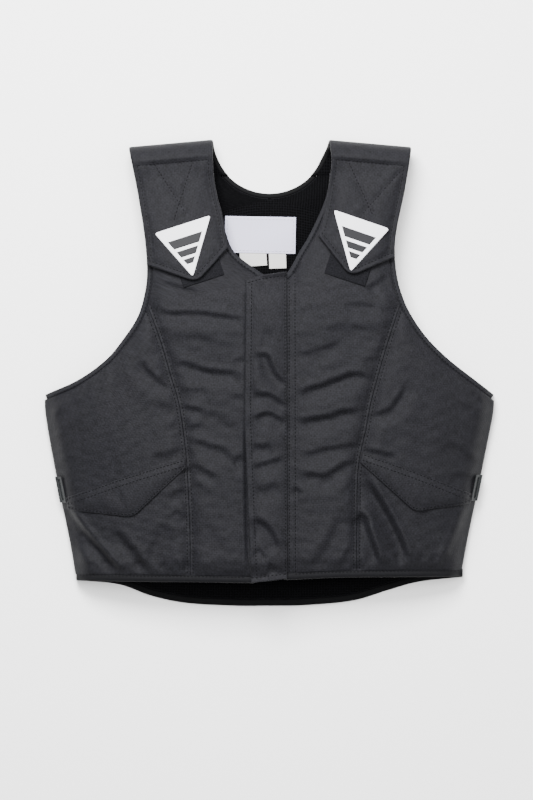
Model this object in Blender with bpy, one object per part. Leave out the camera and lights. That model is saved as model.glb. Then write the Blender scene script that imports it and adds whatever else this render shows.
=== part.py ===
"""Rodeo vest, laid flat on its back with the front up, at real size.

X runs across the chest (the wearer's left is +X), Y runs from the hems up to the shoulders and Z is up.
The origin is under the middle of the vest, on the surface that it lies on.
Places are given as shares: "out" is a share of half the chest width, measured outwards from the centre
line, and "level" is a share of the body length, from the back hem (0) to the shoulder folds (1).
"""

import math
from collections import namedtuple

import bmesh
import bpy
import numpy as np
from mathutils import Vector
from mathutils.bvhtree import BVHTree

# Driving dimensions, in metres
CHEST_WIDTH = 0.540
BODY_LENGTH = 0.560
FRONT_PAD = 0.013
BACK_PAD = 0.013
SEAM_PAD = 0.008
EDGE_PAD = 0.006
TAPER = 0.020
HOLLOW = 0.040
SHOULDER_HOLLOW = 0.012
NECK_WIDTH = 0.134
NECK_DEPTH = 0.064
STRAP_THICKNESS = 0.006
STRAP_EDGE = 0.0045
STRAP_REAR_RUN = 0.008
LINING_THICKNESS = 0.0012
PLACKET_THICKNESS = 0.0028
POCKET_FLAP_THICKNESS = 0.0026
BINDING_WIDTH = 0.006
BINDING_PROUD = 0.0005
HEM_BAND_WIDTH = 0.009
LINING_INSET = 0.35
LINING_LIFT = 0.0018
LOOP_TAPE_WIDTH = 0.051
LOOP_TAPE_LENGTH = 0.046
LOOP_TAPE_THICKNESS = 0.0012
BADGE_SIDE = 0.068
BADGE_THICKNESS = 0.0014
LABEL_WIDTH = 0.085
LABEL_HEIGHT = 0.044
LABEL_THICKNESS = 0.0006
CARE_TAG_WIDTH = 0.032
CARE_TAG_HEIGHT = 0.027
SIZE_TAG_WIDTH = 0.0205
SIZE_TAG_HEIGHT = 0.019
WEBBING_WIDTH = 0.025
WEBBING_THICKNESS = 0.0013
SLIDE_BAR = 0.0022
SLIDE_WIDTH = 0.0075
SLIDE_THICKNESS = 0.0020
FOLD_DEPTH = 0.0036
FOLD_WIDTH = 0.0085

# Clearances between pieces that touch on the real vest
CLEARANCE = 0.0003
SEAM_GAP = 0.0004
BINDING_GAP = 0.0009
SEAT_GAP = 0.0006
PLACKET_SEAT = 0.0008

HALF_CHEST = CHEST_WIDTH / 2
NECK_HALF = NECK_WIDTH / 2
STRAP_SEAT = LOOP_TAPE_THICKNESS + 2 * SEAT_GAP
BACK_SKIN = BACK_PAD + CLEARANCE + LINING_THICKNESS
SIGN = {"right": -1.0, "left": 1.0}

# Facets of the main forms, across and along
CENTRE_GRID = (6, 32)
SIDE_GRID = (9, 18)
BACK_COLUMNS = (0.0, 0.15, 0.3, 0.46, 0.62, 0.78, 0.91, 1.0)
BACK_ROWS = (6, 11, 4)
STRAP_COLUMNS, REAR_ROWS, ARC_ROWS, LEG_ROWS = 6, 1, 7, 12
PLACKET_GRID = (3, 32)
BINDING_ROWS = 20

Edge = namedtuple("Edge", "level right left")
Hem = namedtuple("Hem", "out right left")
Flap = namedtuple("Flap", "inner_level tip_out tip_level outer_level")
Pocket = namedtuple("Pocket", "seam_top seam_low tip_out tip_level side_top side_low")
Spot = namedtuple("Spot", "out level turn")
Fold = namedtuple("Fold", "side out_a level_a out_b level_b bow depth width")

# The outline's side edges, from the front hem up to the armpits
SIDE_EDGE = [
    Edge(0.050, 0.858, 0.846),
    Edge(0.139, 0.889, 0.880),
    Edge(0.232, 0.929, 0.920),
    Edge(0.335, 0.971, 0.964),
    Edge(0.415, 0.998, 0.996),
    Edge(0.453, 1.000, 1.000),
]

# The armhole edges, from the armpits up to the shoulder folds
ARMHOLE = [
    Edge(0.453, 1.000, 1.000),
    Edge(0.485, 0.849, 0.912),
    Edge(0.528, 0.724, 0.796),
    Edge(0.571, 0.649, 0.704),
    Edge(0.614, 0.589, 0.638),
    Edge(0.657, 0.558, 0.593),
    Edge(0.710, 0.542, 0.563),
    Edge(0.785, 0.551, 0.556),
    Edge(0.893, 0.587, 0.600),
    Edge(0.984, 0.626, 0.631),
]

# The seams that part each front into a centre panel and a side panel
PRINCESS_SEAM = [
    Edge(0.050, 0.358, 0.399),
    Edge(0.170, 0.363, 0.401),
    Edge(0.296, 0.376, 0.405),
    Edge(0.375, 0.384, 0.432),
    Edge(0.438, 0.399, 0.452),
    Edge(0.496, 0.429, 0.481),
    Edge(0.571, 0.484, 0.526),
    Edge(0.650, 0.543, 0.580),
]

# The front neckline, from the top of the placket up to the shoulders
NECKLINE = [
    Edge(0.700, 0.000, 0.000),
    Edge(0.712, 0.033, 0.074),
    Edge(0.755, 0.151, 0.128),
    Edge(0.805, 0.197, 0.187),
    Edge(0.878, 0.236, 0.251),
    Edge(0.946, 0.249, 0.270),
    Edge(1.000, 0.252, 0.276),
]

# The inner edges of the shoulder straps, from the flaps up to the shoulder folds
STRAP_INNER = [
    Edge(0.690, 0.163, 0.180),
    Edge(0.766, 0.184, 0.206),
    Edge(0.796, 0.193, 0.217),
    Edge(0.839, 0.209, 0.240),
    Edge(0.871, 0.227, 0.253),
    Edge(0.918, 0.246, 0.268),
    Edge(0.957, 0.250, 0.274),
    Edge(1.000, 0.252, 0.264),
]
FOLD_OUTER_LEVEL = 0.984

# The levels of the front hem, from the side edge to the centre
FRONT_HEM = [
    Hem(0.860, 0.055, 0.064),
    Hem(0.350, 0.051, 0.061),
    Hem(0.080, 0.048, 0.055),
    Hem(0.000, 0.048, 0.058),
]

# The levels of the back hem, from the side edge to the centre
BACK_HEM = [
    Hem(0.860, 0.055, 0.062),
    Hem(0.670, 0.046, 0.052),
    Hem(0.530, 0.022, 0.034),
    Hem(0.370, 0.006, 0.011),
    Hem(0.150, 0.000, 0.001),
    Hem(0.000, 0.000, 0.000),
]

FLAPS = {
    "right": Flap(0.766, 0.320, 0.692, 0.730),
    "left": Flap(0.792, 0.356, 0.705, 0.747),
}
POCKETS = {
    "right": Pocket(0.318, 0.298, 0.604, 0.192, 0.233, 0.207),
    "left": Pocket(0.331, 0.309, 0.642, 0.204, 0.241, 0.221),
}
BADGES = {"right": Spot(0.361, 0.784, 18.0), "left": Spot(0.382, 0.795, -19.0)}
LOOP_TAPES = {"right": Spot(0.287, 0.722, 18.0), "left": Spot(0.327, 0.724, -18.0)}
SLIDES = {"right": Spot(0.0, 0.250, 62.0), "left": Spot(0.0, 0.254, 38.0)}

# The placket's edges and its two end levels
PLACKET_EDGE = [Edge(0.050, 0.082, 0.078), Edge(0.715, 0.105, 0.076)]
PLACKET_TOP = Edge(0.0, 0.699, 0.716)
PLACKET_LOW = Edge(0.0, 0.052, 0.060)

LABEL_SPOT = Spot(-0.041, 0.796, -1.0)
CARE_TAG_SPOT = Spot(-0.073, 0.753, 4.0)
SIZE_TAG_SPOT = Spot(0.036, 0.741, 2.0)

# The main drag folds of the front, as grooves from one end to the other: the depth and the width
# are shares of FOLD_DEPTH and FOLD_WIDTH, and the bow is a share of the groove's length
FOLDS = [
    Fold("right", 0.495, 0.636, 0.120, 0.614, -0.03, 0.9, 0.9),
    Fold("right", 0.450, 0.568, 0.240, 0.572, 0.05, 0.5, 1.4),
    Fold("right", 0.415, 0.508, 0.110, 0.495, 0.02, 1.0, 0.9),
    Fold("right", 0.570, 0.525, 0.415, 0.455, -0.10, 1.1, 0.9),
    Fold("right", 0.370, 0.423, 0.200, 0.399, 0.06, 0.8, 0.9),
    Fold("right", 0.340, 0.340, 0.220, 0.330, 0.05, 0.7, 0.8),
    Fold("right", 0.870, 0.190, 0.660, 0.075, 0.04, 1.2, 1.2),
    Fold("right", 0.445, 0.200, 0.520, 0.092, 0.05, 0.9, 1.5),
    Fold("right", 0.330, 0.295, 0.240, 0.276, 0.05, 0.7, 0.9),
    Fold("left", 0.125, 0.630, 0.480, 0.638, -0.03, 0.6, 0.9),
    Fold("left", 0.145, 0.540, 0.460, 0.580, 0.05, 0.6, 1.4),
    Fold("left", 0.120, 0.447, 0.445, 0.488, 0.06, 1.1, 0.9),
    Fold("left", 0.120, 0.392, 0.405, 0.412, 0.04, 1.0, 0.9),
    Fold("left", 0.125, 0.322, 0.370, 0.341, 0.03, 0.6, 0.8),
    Fold("left", 0.200, 0.275, 0.390, 0.303, -0.06, 0.9, 0.9),
    Fold("left", 0.620, 0.480, 0.450, 0.395, -0.12, 1.0, 0.9),
    Fold("left", 0.440, 0.265, 0.550, 0.110, 0.06, 1.2, 1.2),
    Fold("left", 0.405, 0.165, 0.470, 0.082, 0.06, 1.0, 0.9),
    Fold("left", 0.370, 0.230, 0.195, 0.082, 0.03, 0.9, 1.5),
    Fold("left", 0.640, 0.205, 0.750, 0.130, 0.10, 0.8, 1.2),
]


def across(out):
    """Metres from the centre line, from a share."""
    return out * HALF_CHEST


def height(level):
    """The Y of a level."""
    return (level - 0.5) * BODY_LENGTH


def mix(a, b, share):
    return a + (b - a) * share


def ease(share):
    """0 below 0, 1 above 1, and a smooth step between."""
    t = min(max(share, 0.0), 1.0)
    return t * t * (3 - 2 * t)


# Lines in plan: arrays of (distance from the centre line, Y)


def smooth_line(points, steps=8):
    """A curve that passes through the points (Catmull-Rom)."""
    p = np.array(points, float)
    p = np.vstack([2 * p[0] - p[1], p, 2 * p[-1] - p[-2]])
    t = np.linspace(0, 1, steps, endpoint=False)[:, None]
    spans = []
    for a, b, c, d in zip(p, p[1:], p[2:], p[3:]):
        cubic = (-a + 3 * b - 3 * c + d) * t**3 + (2 * a - 5 * b + 4 * c - d) * t**2
        spans.append((cubic + (c - a) * t + 2 * b) / 2)
    return np.vstack(spans + [p[-2:-1]])


def edge_line(rows, side):
    """A table of edges as a line that runs upwards."""
    return smooth_line([(across(getattr(r, side)), height(r.level)) for r in rows])


def hem_line(rows, side):
    """A table of hems as a line that runs outwards."""
    return smooth_line([(across(r.out), height(getattr(r, side))) for r in rows])[::-1]


def shifted(line, distance, run_on=0.02):
    """The line moved to its left by a distance, and run on a little at both ends."""
    first, last = line[0] - line[1], line[-1] - line[-2]
    first, last = first / np.linalg.norm(first), last / np.linalg.norm(last)
    line = np.vstack([line[0] + run_on * first, line, line[-1] + run_on * last])
    along = np.gradient(line, axis=0)
    along /= np.linalg.norm(along, axis=1)[:, None]
    return line + distance * np.column_stack([-along[:, 1], along[:, 0]])


def out_at(line, y):
    """How far out a line that runs upwards is at a height."""
    return float(np.interp(y, line[:, 1], line[:, 0]))


def y_at(line, out):
    """The height of a line that runs outwards, at a distance out."""
    return float(np.interp(out, line[:, 0], line[:, 1]))


def rising(line, low, high):
    """The part of a line that runs upwards between two heights."""
    inside = line[(line[:, 1] > low) & (line[:, 1] < high)]
    return np.vstack([(out_at(line, low), low), inside, (out_at(line, high), high)])


def spreading(line, near, far):
    """The part of a line that runs outwards between two distances out."""
    inside = line[(line[:, 0] > near) & (line[:, 0] < far)]
    return np.vstack([(near, y_at(line, near)), inside, (far, y_at(line, far))])


def meeting(inner, outer, low, high):
    """The height at which an inner line that runs upwards reaches an outer one."""
    for _ in range(40):
        middle = (low + high) / 2
        if out_at(inner, middle) < out_at(outer, middle):
            low = middle
        else:
            high = middle
    return low


def moved(line, out=0.0, y=0.0):
    return line + np.array([out, y])


def point_at(line, share):
    """The point at a share of the line's length."""
    run = np.concatenate([[0], np.cumsum(np.linalg.norm(np.diff(line, axis=0), axis=1))])
    return np.array([np.interp(share * run[-1], run, line[:, i]) for i in (0, 1)])


def length(line):
    return float(np.linalg.norm(np.diff(line, axis=0), axis=1).sum())


def patch(first, last, low, high):
    """A smooth map of (u, v) onto the area between four lines (a Coons patch)."""

    def place(u, v):
        sides = mix(point_at(first, v), point_at(last, v), u)
        ends = mix(point_at(low, u), point_at(high, u), v)
        corners = mix(mix(first[0], last[0], u), mix(first[-1], last[-1], u), v)
        return sides + ends - corners

    return place


SIDES = {s: edge_line(SIDE_EDGE, s) for s in SIGN}
ARMHOLES = {s: edge_line(ARMHOLE, s) for s in SIGN}
SEAMS = {s: edge_line(PRINCESS_SEAM, s) for s in SIGN}
NECKLINES = {s: edge_line(NECKLINE, s) for s in SIGN}
STRAP_INNERS = {s: edge_line(STRAP_INNER, s) for s in SIGN}
FRONT_HEMS = {s: hem_line(FRONT_HEM, s) for s in SIGN}
BACK_HEMS = {s: hem_line(BACK_HEM, s) for s in SIGN}
BACK_NECK = np.array(
    [
        (NECK_HALF * math.sin(a), height(1.0) - NECK_DEPTH * math.cos(a))
        for a in np.linspace(0, math.pi / 2, 17)
    ]
)

# The panels stop inside their bindings, and their hems above the hem bands
BOUND = BINDING_WIDTH + BINDING_GAP
PANEL_ARMHOLES = {s: shifted(ARMHOLES[s], BOUND) for s in SIGN}
PANEL_NECKLINES = {s: shifted(NECKLINES[s], -BOUND) for s in SIGN}
PANEL_BACK_NECK = shifted(BACK_NECK, -BOUND)
PANEL_HEMS = {s: shifted(FRONT_HEMS[s], HEM_BAND_WIDTH + BINDING_GAP) for s in SIGN}
PANEL_BACK_HEMS = {s: shifted(BACK_HEMS[s], HEM_BAND_WIDTH + BINDING_GAP) for s in SIGN}

SHOULDER_TOP = BACK_SKIN + SHOULDER_HOLLOW + FRONT_PAD + STRAP_SEAT + STRAP_THICKNESS
FOLD_RADIUS = SHOULDER_TOP / 2
SHOULDER_END = height(FOLD_OUTER_LEVEL) - FOLD_RADIUS - STRAP_REAR_RUN


def armpit(side):
    """The height at which a panel's armhole leaves the side edge."""
    return y_at(PANEL_ARMHOLES[side][::-1], HALF_CHEST)


def seam_top(side):
    """The height at which a princess seam ends in the armhole."""
    return meeting(SEAMS[side], PANEL_ARMHOLES[side], height(0.5), height(0.69))


def body_out(side, y):
    """The outer edge of a panel at a height."""
    if y < armpit(side):
        return out_at(SIDES[side], y)
    return min(out_at(SIDES[side], y), out_at(PANEL_ARMHOLES[side], y))


# Heights of the faces, at a place in plan


def open_body(y):
    """1 where the body is at its full depth, falling to 0 at the shoulders."""
    return 1 - ease((y - height(0.60)) / (height(0.94) - height(0.60)))


def front_inner(x, y):
    """The front's inner face: it rises from the side edges to the middle."""
    side = "left" if x > 0 else "right"
    low = EDGE_PAD + SEAT_GAP
    share = min(abs(x) / out_at(SIDES[side], y), 1.0)
    rise = (1 - share**2.6) ** (1 / 1.9)
    return mix(BACK_SKIN + SHOULDER_HOLLOW, mix(low, BACK_SKIN + HOLLOW, rise), open_body(y))


def fold_depth(x, y):
    """How deep the drag folds are here."""
    side = "left" if x > 0 else "right"
    here, depth = Vector((abs(x), y)), 0.0
    for fold in FOLDS:
        if fold.side != side:
            continue
        start = Vector((across(fold.out_a), height(fold.level_a)))
        run = Vector((across(fold.out_b), height(fold.level_b))) - start
        t = (here - start).dot(run) / run.length_squared
        if 0 < t < 1:
            off = (here - start).dot(Vector((-run.y, run.x))) / run.length
            off -= fold.bow * run.length * 4 * t * (1 - t)
            groove = math.exp(-((off / (FOLD_WIDTH * fold.width)) ** 2))
            depth = max(depth, FOLD_DEPTH * fold.depth * groove * math.sin(math.pi * t) ** 0.5)
    return depth


def rim_share(x, y):
    """0 at the front's bound edges and hem, 1 from a taper's width inside them."""
    side, out = ("left" if x > 0 else "right"), abs(x)
    inside = [body_out(side, y) - out, y - y_at(PANEL_HEMS[side], out)]
    if y > NECKLINES[side][0, 1]:
        inside.append(out - out_at(PANEL_NECKLINES[side], y))
    return ease(min(inside) / TAPER)


def front_pad(x, y):
    """The front's thickness: pinched at its edges and at the princess seams."""
    side = "left" if x > 0 else "right"
    full = FRONT_PAD
    if y < height(PRINCESS_SEAM[-1].level):
        full = mix(SEAM_PAD, full, ease(abs(abs(x) - out_at(SEAMS[side], y)) / TAPER))
    return mix(EDGE_PAD, full, rim_share(x, y))


def front_faces(x, y):
    inner = front_inner(x, y)
    return inner, inner + front_pad(x, y) - fold_depth(x, y) * rim_share(x, y)


def material(name, colour, roughness, metallic=0.0):
    made = bpy.data.materials.get(name) or bpy.data.materials.new(name)
    made.use_nodes = True
    shader = made.node_tree.nodes["Principled BSDF"]
    shader.inputs["Base Color"].default_value = (*colour, 1.0)
    shader.inputs["Roughness"].default_value = roughness
    shader.inputs["Metallic"].default_value = metallic
    return made


NYLON = material("ballistic_nylon", (0.022, 0.023, 0.026), 0.62)
BINDING = material("binding_tape", (0.016, 0.017, 0.019), 0.70)
LINING = material("mesh_lining", (0.004, 0.004, 0.005), 0.85)
LOOP_PILE = material("loop_tape", (0.006, 0.006, 0.007), 0.95)
RUBBER = material("badge_rubber", (0.85, 0.86, 0.88), 0.45)
LABEL = material("woven_label", (0.62, 0.62, 0.72), 0.75)
TAG = material("printed_tag", (0.60, 0.60, 0.58), 0.80)
WEBBING = material("webbing", (0.030, 0.032, 0.034), 0.75)
PLASTIC = material("moulded_plastic", (0.035, 0.038, 0.040), 0.42)


def sheet(name, finish, areas, open_cell=None, flat_back=False):
    """A closed sheet made of areas that share edges.

    An area is (place, columns, rows), and place(u, v) gives the lower and the upper point.
    """
    bm = bmesh.new()
    above = bm.verts.layers.float_vector.new("above")
    for place, columns, rows in areas:
        made = bmesh.ops.create_grid(bm, x_segments=columns, y_segments=rows, size=0.5)
        for vert in made["verts"]:
            vert.co, vert[above] = place(vert.co.x + 0.5, vert.co.y + 0.5)
    if open_cell is not None:
        bm.faces.ensure_lookup_table()
        bmesh.ops.delete(bm, geom=[bm.faces[open_cell]], context="FACES")
    bmesh.ops.remove_doubles(bm, verts=list(bm.verts), dist=1e-6)
    grown = bmesh.ops.extrude_face_region(bm, geom=list(bm.faces), use_keep_orig=True)
    for item in grown["geom"]:
        if isinstance(item, bmesh.types.BMVert):
            item.co = item[above]
    if flat_back:
        base = [face for face in bm.faces if all(abs(v.co.z) < 1e-7 for v in face.verts)]
        bmesh.ops.dissolve_faces(bm, faces=base, use_verts=False)
    bmesh.ops.recalc_face_normals(bm, faces=list(bm.faces))
    bm.verts.layers.float_vector.remove(above)
    mesh = bpy.data.meshes.new(name)
    bm.to_mesh(mesh)
    bm.free()
    mesh.materials.append(finish)
    mesh.shade_smooth()
    mesh.set_sharp_from_angle(angle=math.radians(40))
    made = bpy.data.objects.new(name, mesh)
    bpy.context.scene.collection.objects.link(made)
    return made


def on_plan(plan, faces, side=None):
    """Give a plan its heights: faces(x, y) are the lower and the upper one."""
    sign = SIGN[side] if side else 1.0

    def place(u, v):
        out, y = plan(u, v)
        x = sign * float(out)
        low, high = faces(x, float(y))
        return Vector((x, y, low)), Vector((x, y, high))

    return place


def top_of(*pieces, reach):
    """The height of the highest of some pieces at a place in plan, or within reach of it."""
    trees = [
        BVHTree.FromPolygons([v.co for v in p.data.vertices], [f.vertices for f in p.data.polygons])
        for p in pieces
    ]
    ring = [(reach * math.cos(a), reach * math.sin(a)) for a in np.arange(8) * math.pi / 4]

    def top(x, y):
        highest = 0.0
        for dx, dy in [(0.0, 0.0)] + ring:
            for tree in trees:
                hit = tree.ray_cast(Vector((x + dx, y + dy, 1.0)), Vector((0.0, 0.0, -1.0)))[0]
                highest = max(highest, hit.z) if hit else highest
        return highest

    return top


def resting(under, thickness, gap=CLEARANCE):
    """The faces of something of even thickness that lies on a surface."""

    def faces(x, y):
        low = under(x, y) + gap
        return low, low + thickness

    return faces


def centre_panel(side):
    """The front between the centre line and the princess seam, up to the shoulder."""
    middle, top = SEAM_GAP / 2, seam_top(side)
    neckline, armhole = PANEL_NECKLINES[side], PANEL_ARMHOLES[side]
    seam = moved(SEAMS[side], out=-SEAM_GAP / 2)
    low_y = y_at(PANEL_HEMS[side], middle)
    neck_y = max(y_at(neckline, middle), neckline[0, 1])
    seam_low = out_at(seam, y_at(PANEL_HEMS[side], across(PRINCESS_SEAM[0].right)))
    hem = spreading(PANEL_HEMS[side], middle, seam_low)
    neck = rising(neckline, neck_y, SHOULDER_END)
    inner = np.vstack([(middle, low_y), (middle, neck[0, 1]), neck[1:]])
    outer = np.vstack([hem[-1], rising(seam, hem[-1, 1] + 0.001, top), rising(armhole, top + 0.001, SHOULDER_END)])
    shoulder = np.array([inner[-1], outer[-1]])
    plan = patch(inner, outer, hem, shoulder)
    return sheet(f"{side}_front_centre_panel", NYLON, [(on_plan(plan, front_faces, side), *CENTRE_GRID)])


def side_panel(side):
    """The front between the princess seam and the side edge, up to the armhole."""
    seam = moved(SEAMS[side], out=SEAM_GAP / 2)
    armhole = PANEL_ARMHOLES[side]
    top = meeting(seam, armhole, height(0.5), height(0.69))
    seam_low = out_at(seam, y_at(PANEL_HEMS[side], across(PRINCESS_SEAM[0].right)))
    hem_far = y_at(PANEL_HEMS[side], across(FRONT_HEM[0].out))
    far = out_at(SIDES[side], hem_far)
    hem = spreading(PANEL_HEMS[side], seam_low, far)
    inner = np.vstack([hem[0], rising(seam, hem[0, 1] + 0.001, top)])
    outer = np.vstack([hem[-1], rising(SIDES[side], hem[-1, 1] + 0.001, armpit(side))])
    arm = rising(armhole, armpit(side), top)[::-1]
    arm[-1] = outer[-1]
    arm[0] = inner[-1]
    plan = patch(inner, outer, hem, arm)
    return sheet(f"{side}_front_side_panel", NYLON, [(on_plan(plan, front_faces, side), *SIDE_GRID)])


def back_edges(side):
    """The lines round half the back: inner, outer, hem and shoulder."""
    hem, armhole = PANEL_BACK_HEMS[side], PANEL_ARMHOLES[side]
    far = out_at(SIDES[side], y_at(hem, across(BACK_HEM[0].out)))
    hem = spreading(hem, 0.0, far)
    hem[0, 1] = y_at(PANEL_BACK_HEMS["right"], 0.0)
    pit = armpit(side)
    neck = rising(PANEL_BACK_NECK, y_at(PANEL_BACK_NECK, 0.0) + 1e-5, SHOULDER_END)
    inner = np.vstack([(0.0, hem[0, 1]), (0.0, neck[0, 1]), neck[1:]])
    sides = np.vstack([hem[-1], rising(SIDES[side], hem[-1, 1] + 0.001, pit)])
    outer = np.vstack([sides, rising(armhole, pit + 0.001, SHOULDER_END)])
    return inner, outer, hem, np.array([inner[-1], outer[-1]])


def back_rows():
    """The rows of the back's facets: they break at the armpit and at the bottom of the neckline."""
    inner, outer = back_edges("right")[:2]
    pit = len(outer[outer[:, 1] <= armpit("right")])
    stops = [0, length(outer[:pit]) / length(outer), length(inner[:2]) / length(inner), 1]
    rows = [0.0]
    for count, low, high in zip(BACK_ROWS, stops, stops[1:]):
        rows.extend(np.linspace(low, high, count + 1)[1:])
    return rows


def back_half(side):
    """The plan of half the back, and its rows."""
    return patch(*back_edges(side)), back_rows()


def back_area(side, lining=False):
    """Half the back, or of its lining: full thickness inside its outermost ring of facets."""
    plan, rows = back_half(side)
    last_column, last_row = len(BACK_COLUMNS) - 1, len(rows) - 1
    neck_row = BACK_ROWS[0] + BACK_ROWS[1]

    def place(u, v):
        i, j = round(u * last_column), round(v * last_row)
        inner_i, inner_j = min(i, last_column - 1), min(max(j, 1), last_row - 1)
        if i == 0 and j > neck_row:
            inner_i = 1
        if i == 0 and j == neck_row:
            inner_j = j - 1
        at_rim = (i, j) != (inner_i, inner_j)
        (out, y), depth = plan(BACK_COLUMNS[i], rows[j]), EDGE_PAD if at_rim else BACK_PAD
        if lining and at_rim:
            inside = plan(BACK_COLUMNS[inner_i], rows[inner_j])
            out, y = mix(np.array([out, y]), inside, LINING_INSET)
            depth = mix(EDGE_PAD, BACK_PAD, LINING_INSET) + LINING_LIFT
        x = SIGN[side] * float(out)
        if not lining:
            return Vector((x, y, 0.0)), Vector((x, y, depth))
        low = depth + CLEARANCE
        return Vector((x, y, low)), Vector((x, y, low + LINING_THICKNESS))

    return place, last_column, last_row


def back_panel():
    return sheet("back_panel", NYLON, [back_area(s) for s in SIGN], flat_back=True)


def back_lining():
    """The mesh that shows at the neck and below the front's hem."""
    return sheet("back_lining", LINING, [back_area(s, lining=True) for s in SIGN])


def fold_centre(side, out):
    """The Y of the middle of the shoulder fold, which lies further up towards the neck."""
    near, far = across(STRAP_INNER[-1].right), across(ARMHOLE[-1].right)
    share = (out - near) / (far - near)
    return mix(height(STRAP_INNER[-1].level), height(FOLD_OUTER_LEVEL), share) - FOLD_RADIUS


def shoulder_strap(side, under):
    """The back's shoulder: round the fold, and over the front down to its pointed end."""
    inner, outer, flap = STRAP_INNERS[side], ARMHOLES[side], FLAPS[side]
    inner_top, outer_top = (fold_centre(side, across(a)) for a in (0.25, 0.61))
    first = rising(inner, height(flap.inner_level), inner_top)[::-1]
    last = rising(outer, height(flap.outer_level), outer_top)[::-1]
    tip = (across(flap.tip_out), height(flap.tip_level))
    leg = patch(first, last, np.array([first[0], last[0]]), np.array([first[-1], tip, last[-1]]))
    rows = REAR_ROWS + ARC_ROWS + LEG_ROWS
    seat = SHOULDER_TOP - STRAP_THICKNESS

    def round_fold(out, angle):
        """A point of each face on the arc; the angle runs from -90 (rear) to 90 degrees (front)."""
        middle = fold_centre(side, out)
        rise, reach = math.sin(angle), math.cos(angle)
        x = SIGN[side] * out
        return [
            Vector((x, middle + r * reach, FOLD_RADIUS + r * rise))
            for r in (FOLD_RADIUS - STRAP_THICKNESS, FOLD_RADIUS)
        ]

    def place(u, v):
        row = v * rows
        if row < REAR_ROWS + ARC_ROWS:
            angle = math.radians(mix(-90, 90, max(row - REAR_ROWS, 0) / ARC_ROWS))
            out = mix(first[0, 0], last[0, 0], u)
            y = fold_centre(side, out) + FOLD_RADIUS * math.cos(angle)
            out = mix(out_at(inner, y), out_at(outer, y), u)
            points = round_fold(out, angle)
            if row < REAR_ROWS:
                y = mix(SHOULDER_END + SEAM_GAP, points[0].y, row / REAR_ROWS)
                points[0].y = points[1].y = y
            return points[1], points[0]
        out, y = leg(u, (row - REAR_ROWS - ARC_ROWS) / LEG_ROWS)
        x = SIGN[side] * float(out)
        near_fold = ease(1 - (fold_centre(side, out) - y) / 0.03)
        low = mix(under(x, y) + SEAT_GAP + CLEARANCE, seat, near_fold)
        return Vector((x, y, low + strap_thickness(side, out, y))), Vector((x, y, low))

    return sheet(f"{side}_shoulder_strap", NYLON, [(place, STRAP_COLUMNS, rows)])


def strap_thickness(side, out, y):
    """The strap thins at its two long edges."""
    inside = min(out - out_at(STRAP_INNERS[side], y), out_at(ARMHOLES[side], y) - out)
    return mix(STRAP_EDGE, STRAP_THICKNESS, ease(inside / 0.008))


def front_placket(under):
    """The fly that covers the front opening, from the neckline to the hem."""
    ends = []
    for row, low_end in ((PLACKET_EDGE[0], PLACKET_LOW), (PLACKET_EDGE[-1], PLACKET_TOP)):
        ends.append([(-across(row.right), height(low_end.right)), (across(row.left), height(low_end.left))])
    (low_right, low_left), (top_right, top_left) = ends
    plan = patch(
        np.array([low_right, top_right]),
        np.array([low_left, top_left]),
        np.array([low_right, low_left]),
        np.array([top_right, top_left]),
    )

    def faces(x, y):
        low = max(under(x, y), front_inner(x, y) + EDGE_PAD + BINDING_PROUD) + PLACKET_SEAT
        return low, low + PLACKET_THICKNESS

    sheet("front_placket", NYLON, [(on_plan(plan, faces), *PLACKET_GRID)])


def strip(line, near, far):
    """The plan of a strip beside a line, between two distances to its left, point for point."""
    edges = [shifted(line, d, run_on=1e-5)[1:-1] for d in (near, far)]
    for edge in edges:
        edge[line[:, 0] < 1e-9, 0] = 0.0
        edge[:, 0] = np.minimum(edge[:, 0], HALF_CHEST)

    def plan(u, v):
        row = round(v * (len(line) - 1))
        return mix(edges[0][row], edges[1][row], u)

    return plan


def bound_faces(x, y):
    """The faces of a binding or hem band round the front's edge."""
    low = front_inner(x, y)
    return low, low + EDGE_PAD + BINDING_PROUD


def back_bound_faces(x, y):
    return 0.0, EDGE_PAD


def bindings(side):
    """The tape round the front's armhole and neckline, and the band along its hem."""
    end = SHOULDER_END - 0.0025
    armhole = rising(ARMHOLES[side], ARMHOLES[side][0, 1] + 0.0005, end)
    neck = rising(NECKLINES[side], height(0.718), end)
    placket = across(PLACKET_EDGE[0].right if side == "right" else PLACKET_EDGE[0].left)
    hem = spreading(FRONT_HEMS[side], placket + CLEARANCE, FRONT_HEMS[side][-1, 0])
    made = []
    for name, line, width, rows in (
        (f"{side}_armhole_binding", armhole, BINDING_WIDTH, BINDING_ROWS),
        (f"{side}_neck_binding", neck, -BINDING_WIDTH, 12),
        (f"{side}_hem_band", hem, HEM_BAND_WIDTH, 12),
    ):
        line = np.array([point_at(line, share) for share in np.linspace(0, 1, rows + 1)])
        plan = strip(line, 0.0, width)
        made.append(sheet(name, BINDING, [(on_plan(plan, bound_faces, side), 2, rows)]))
    return made


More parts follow.
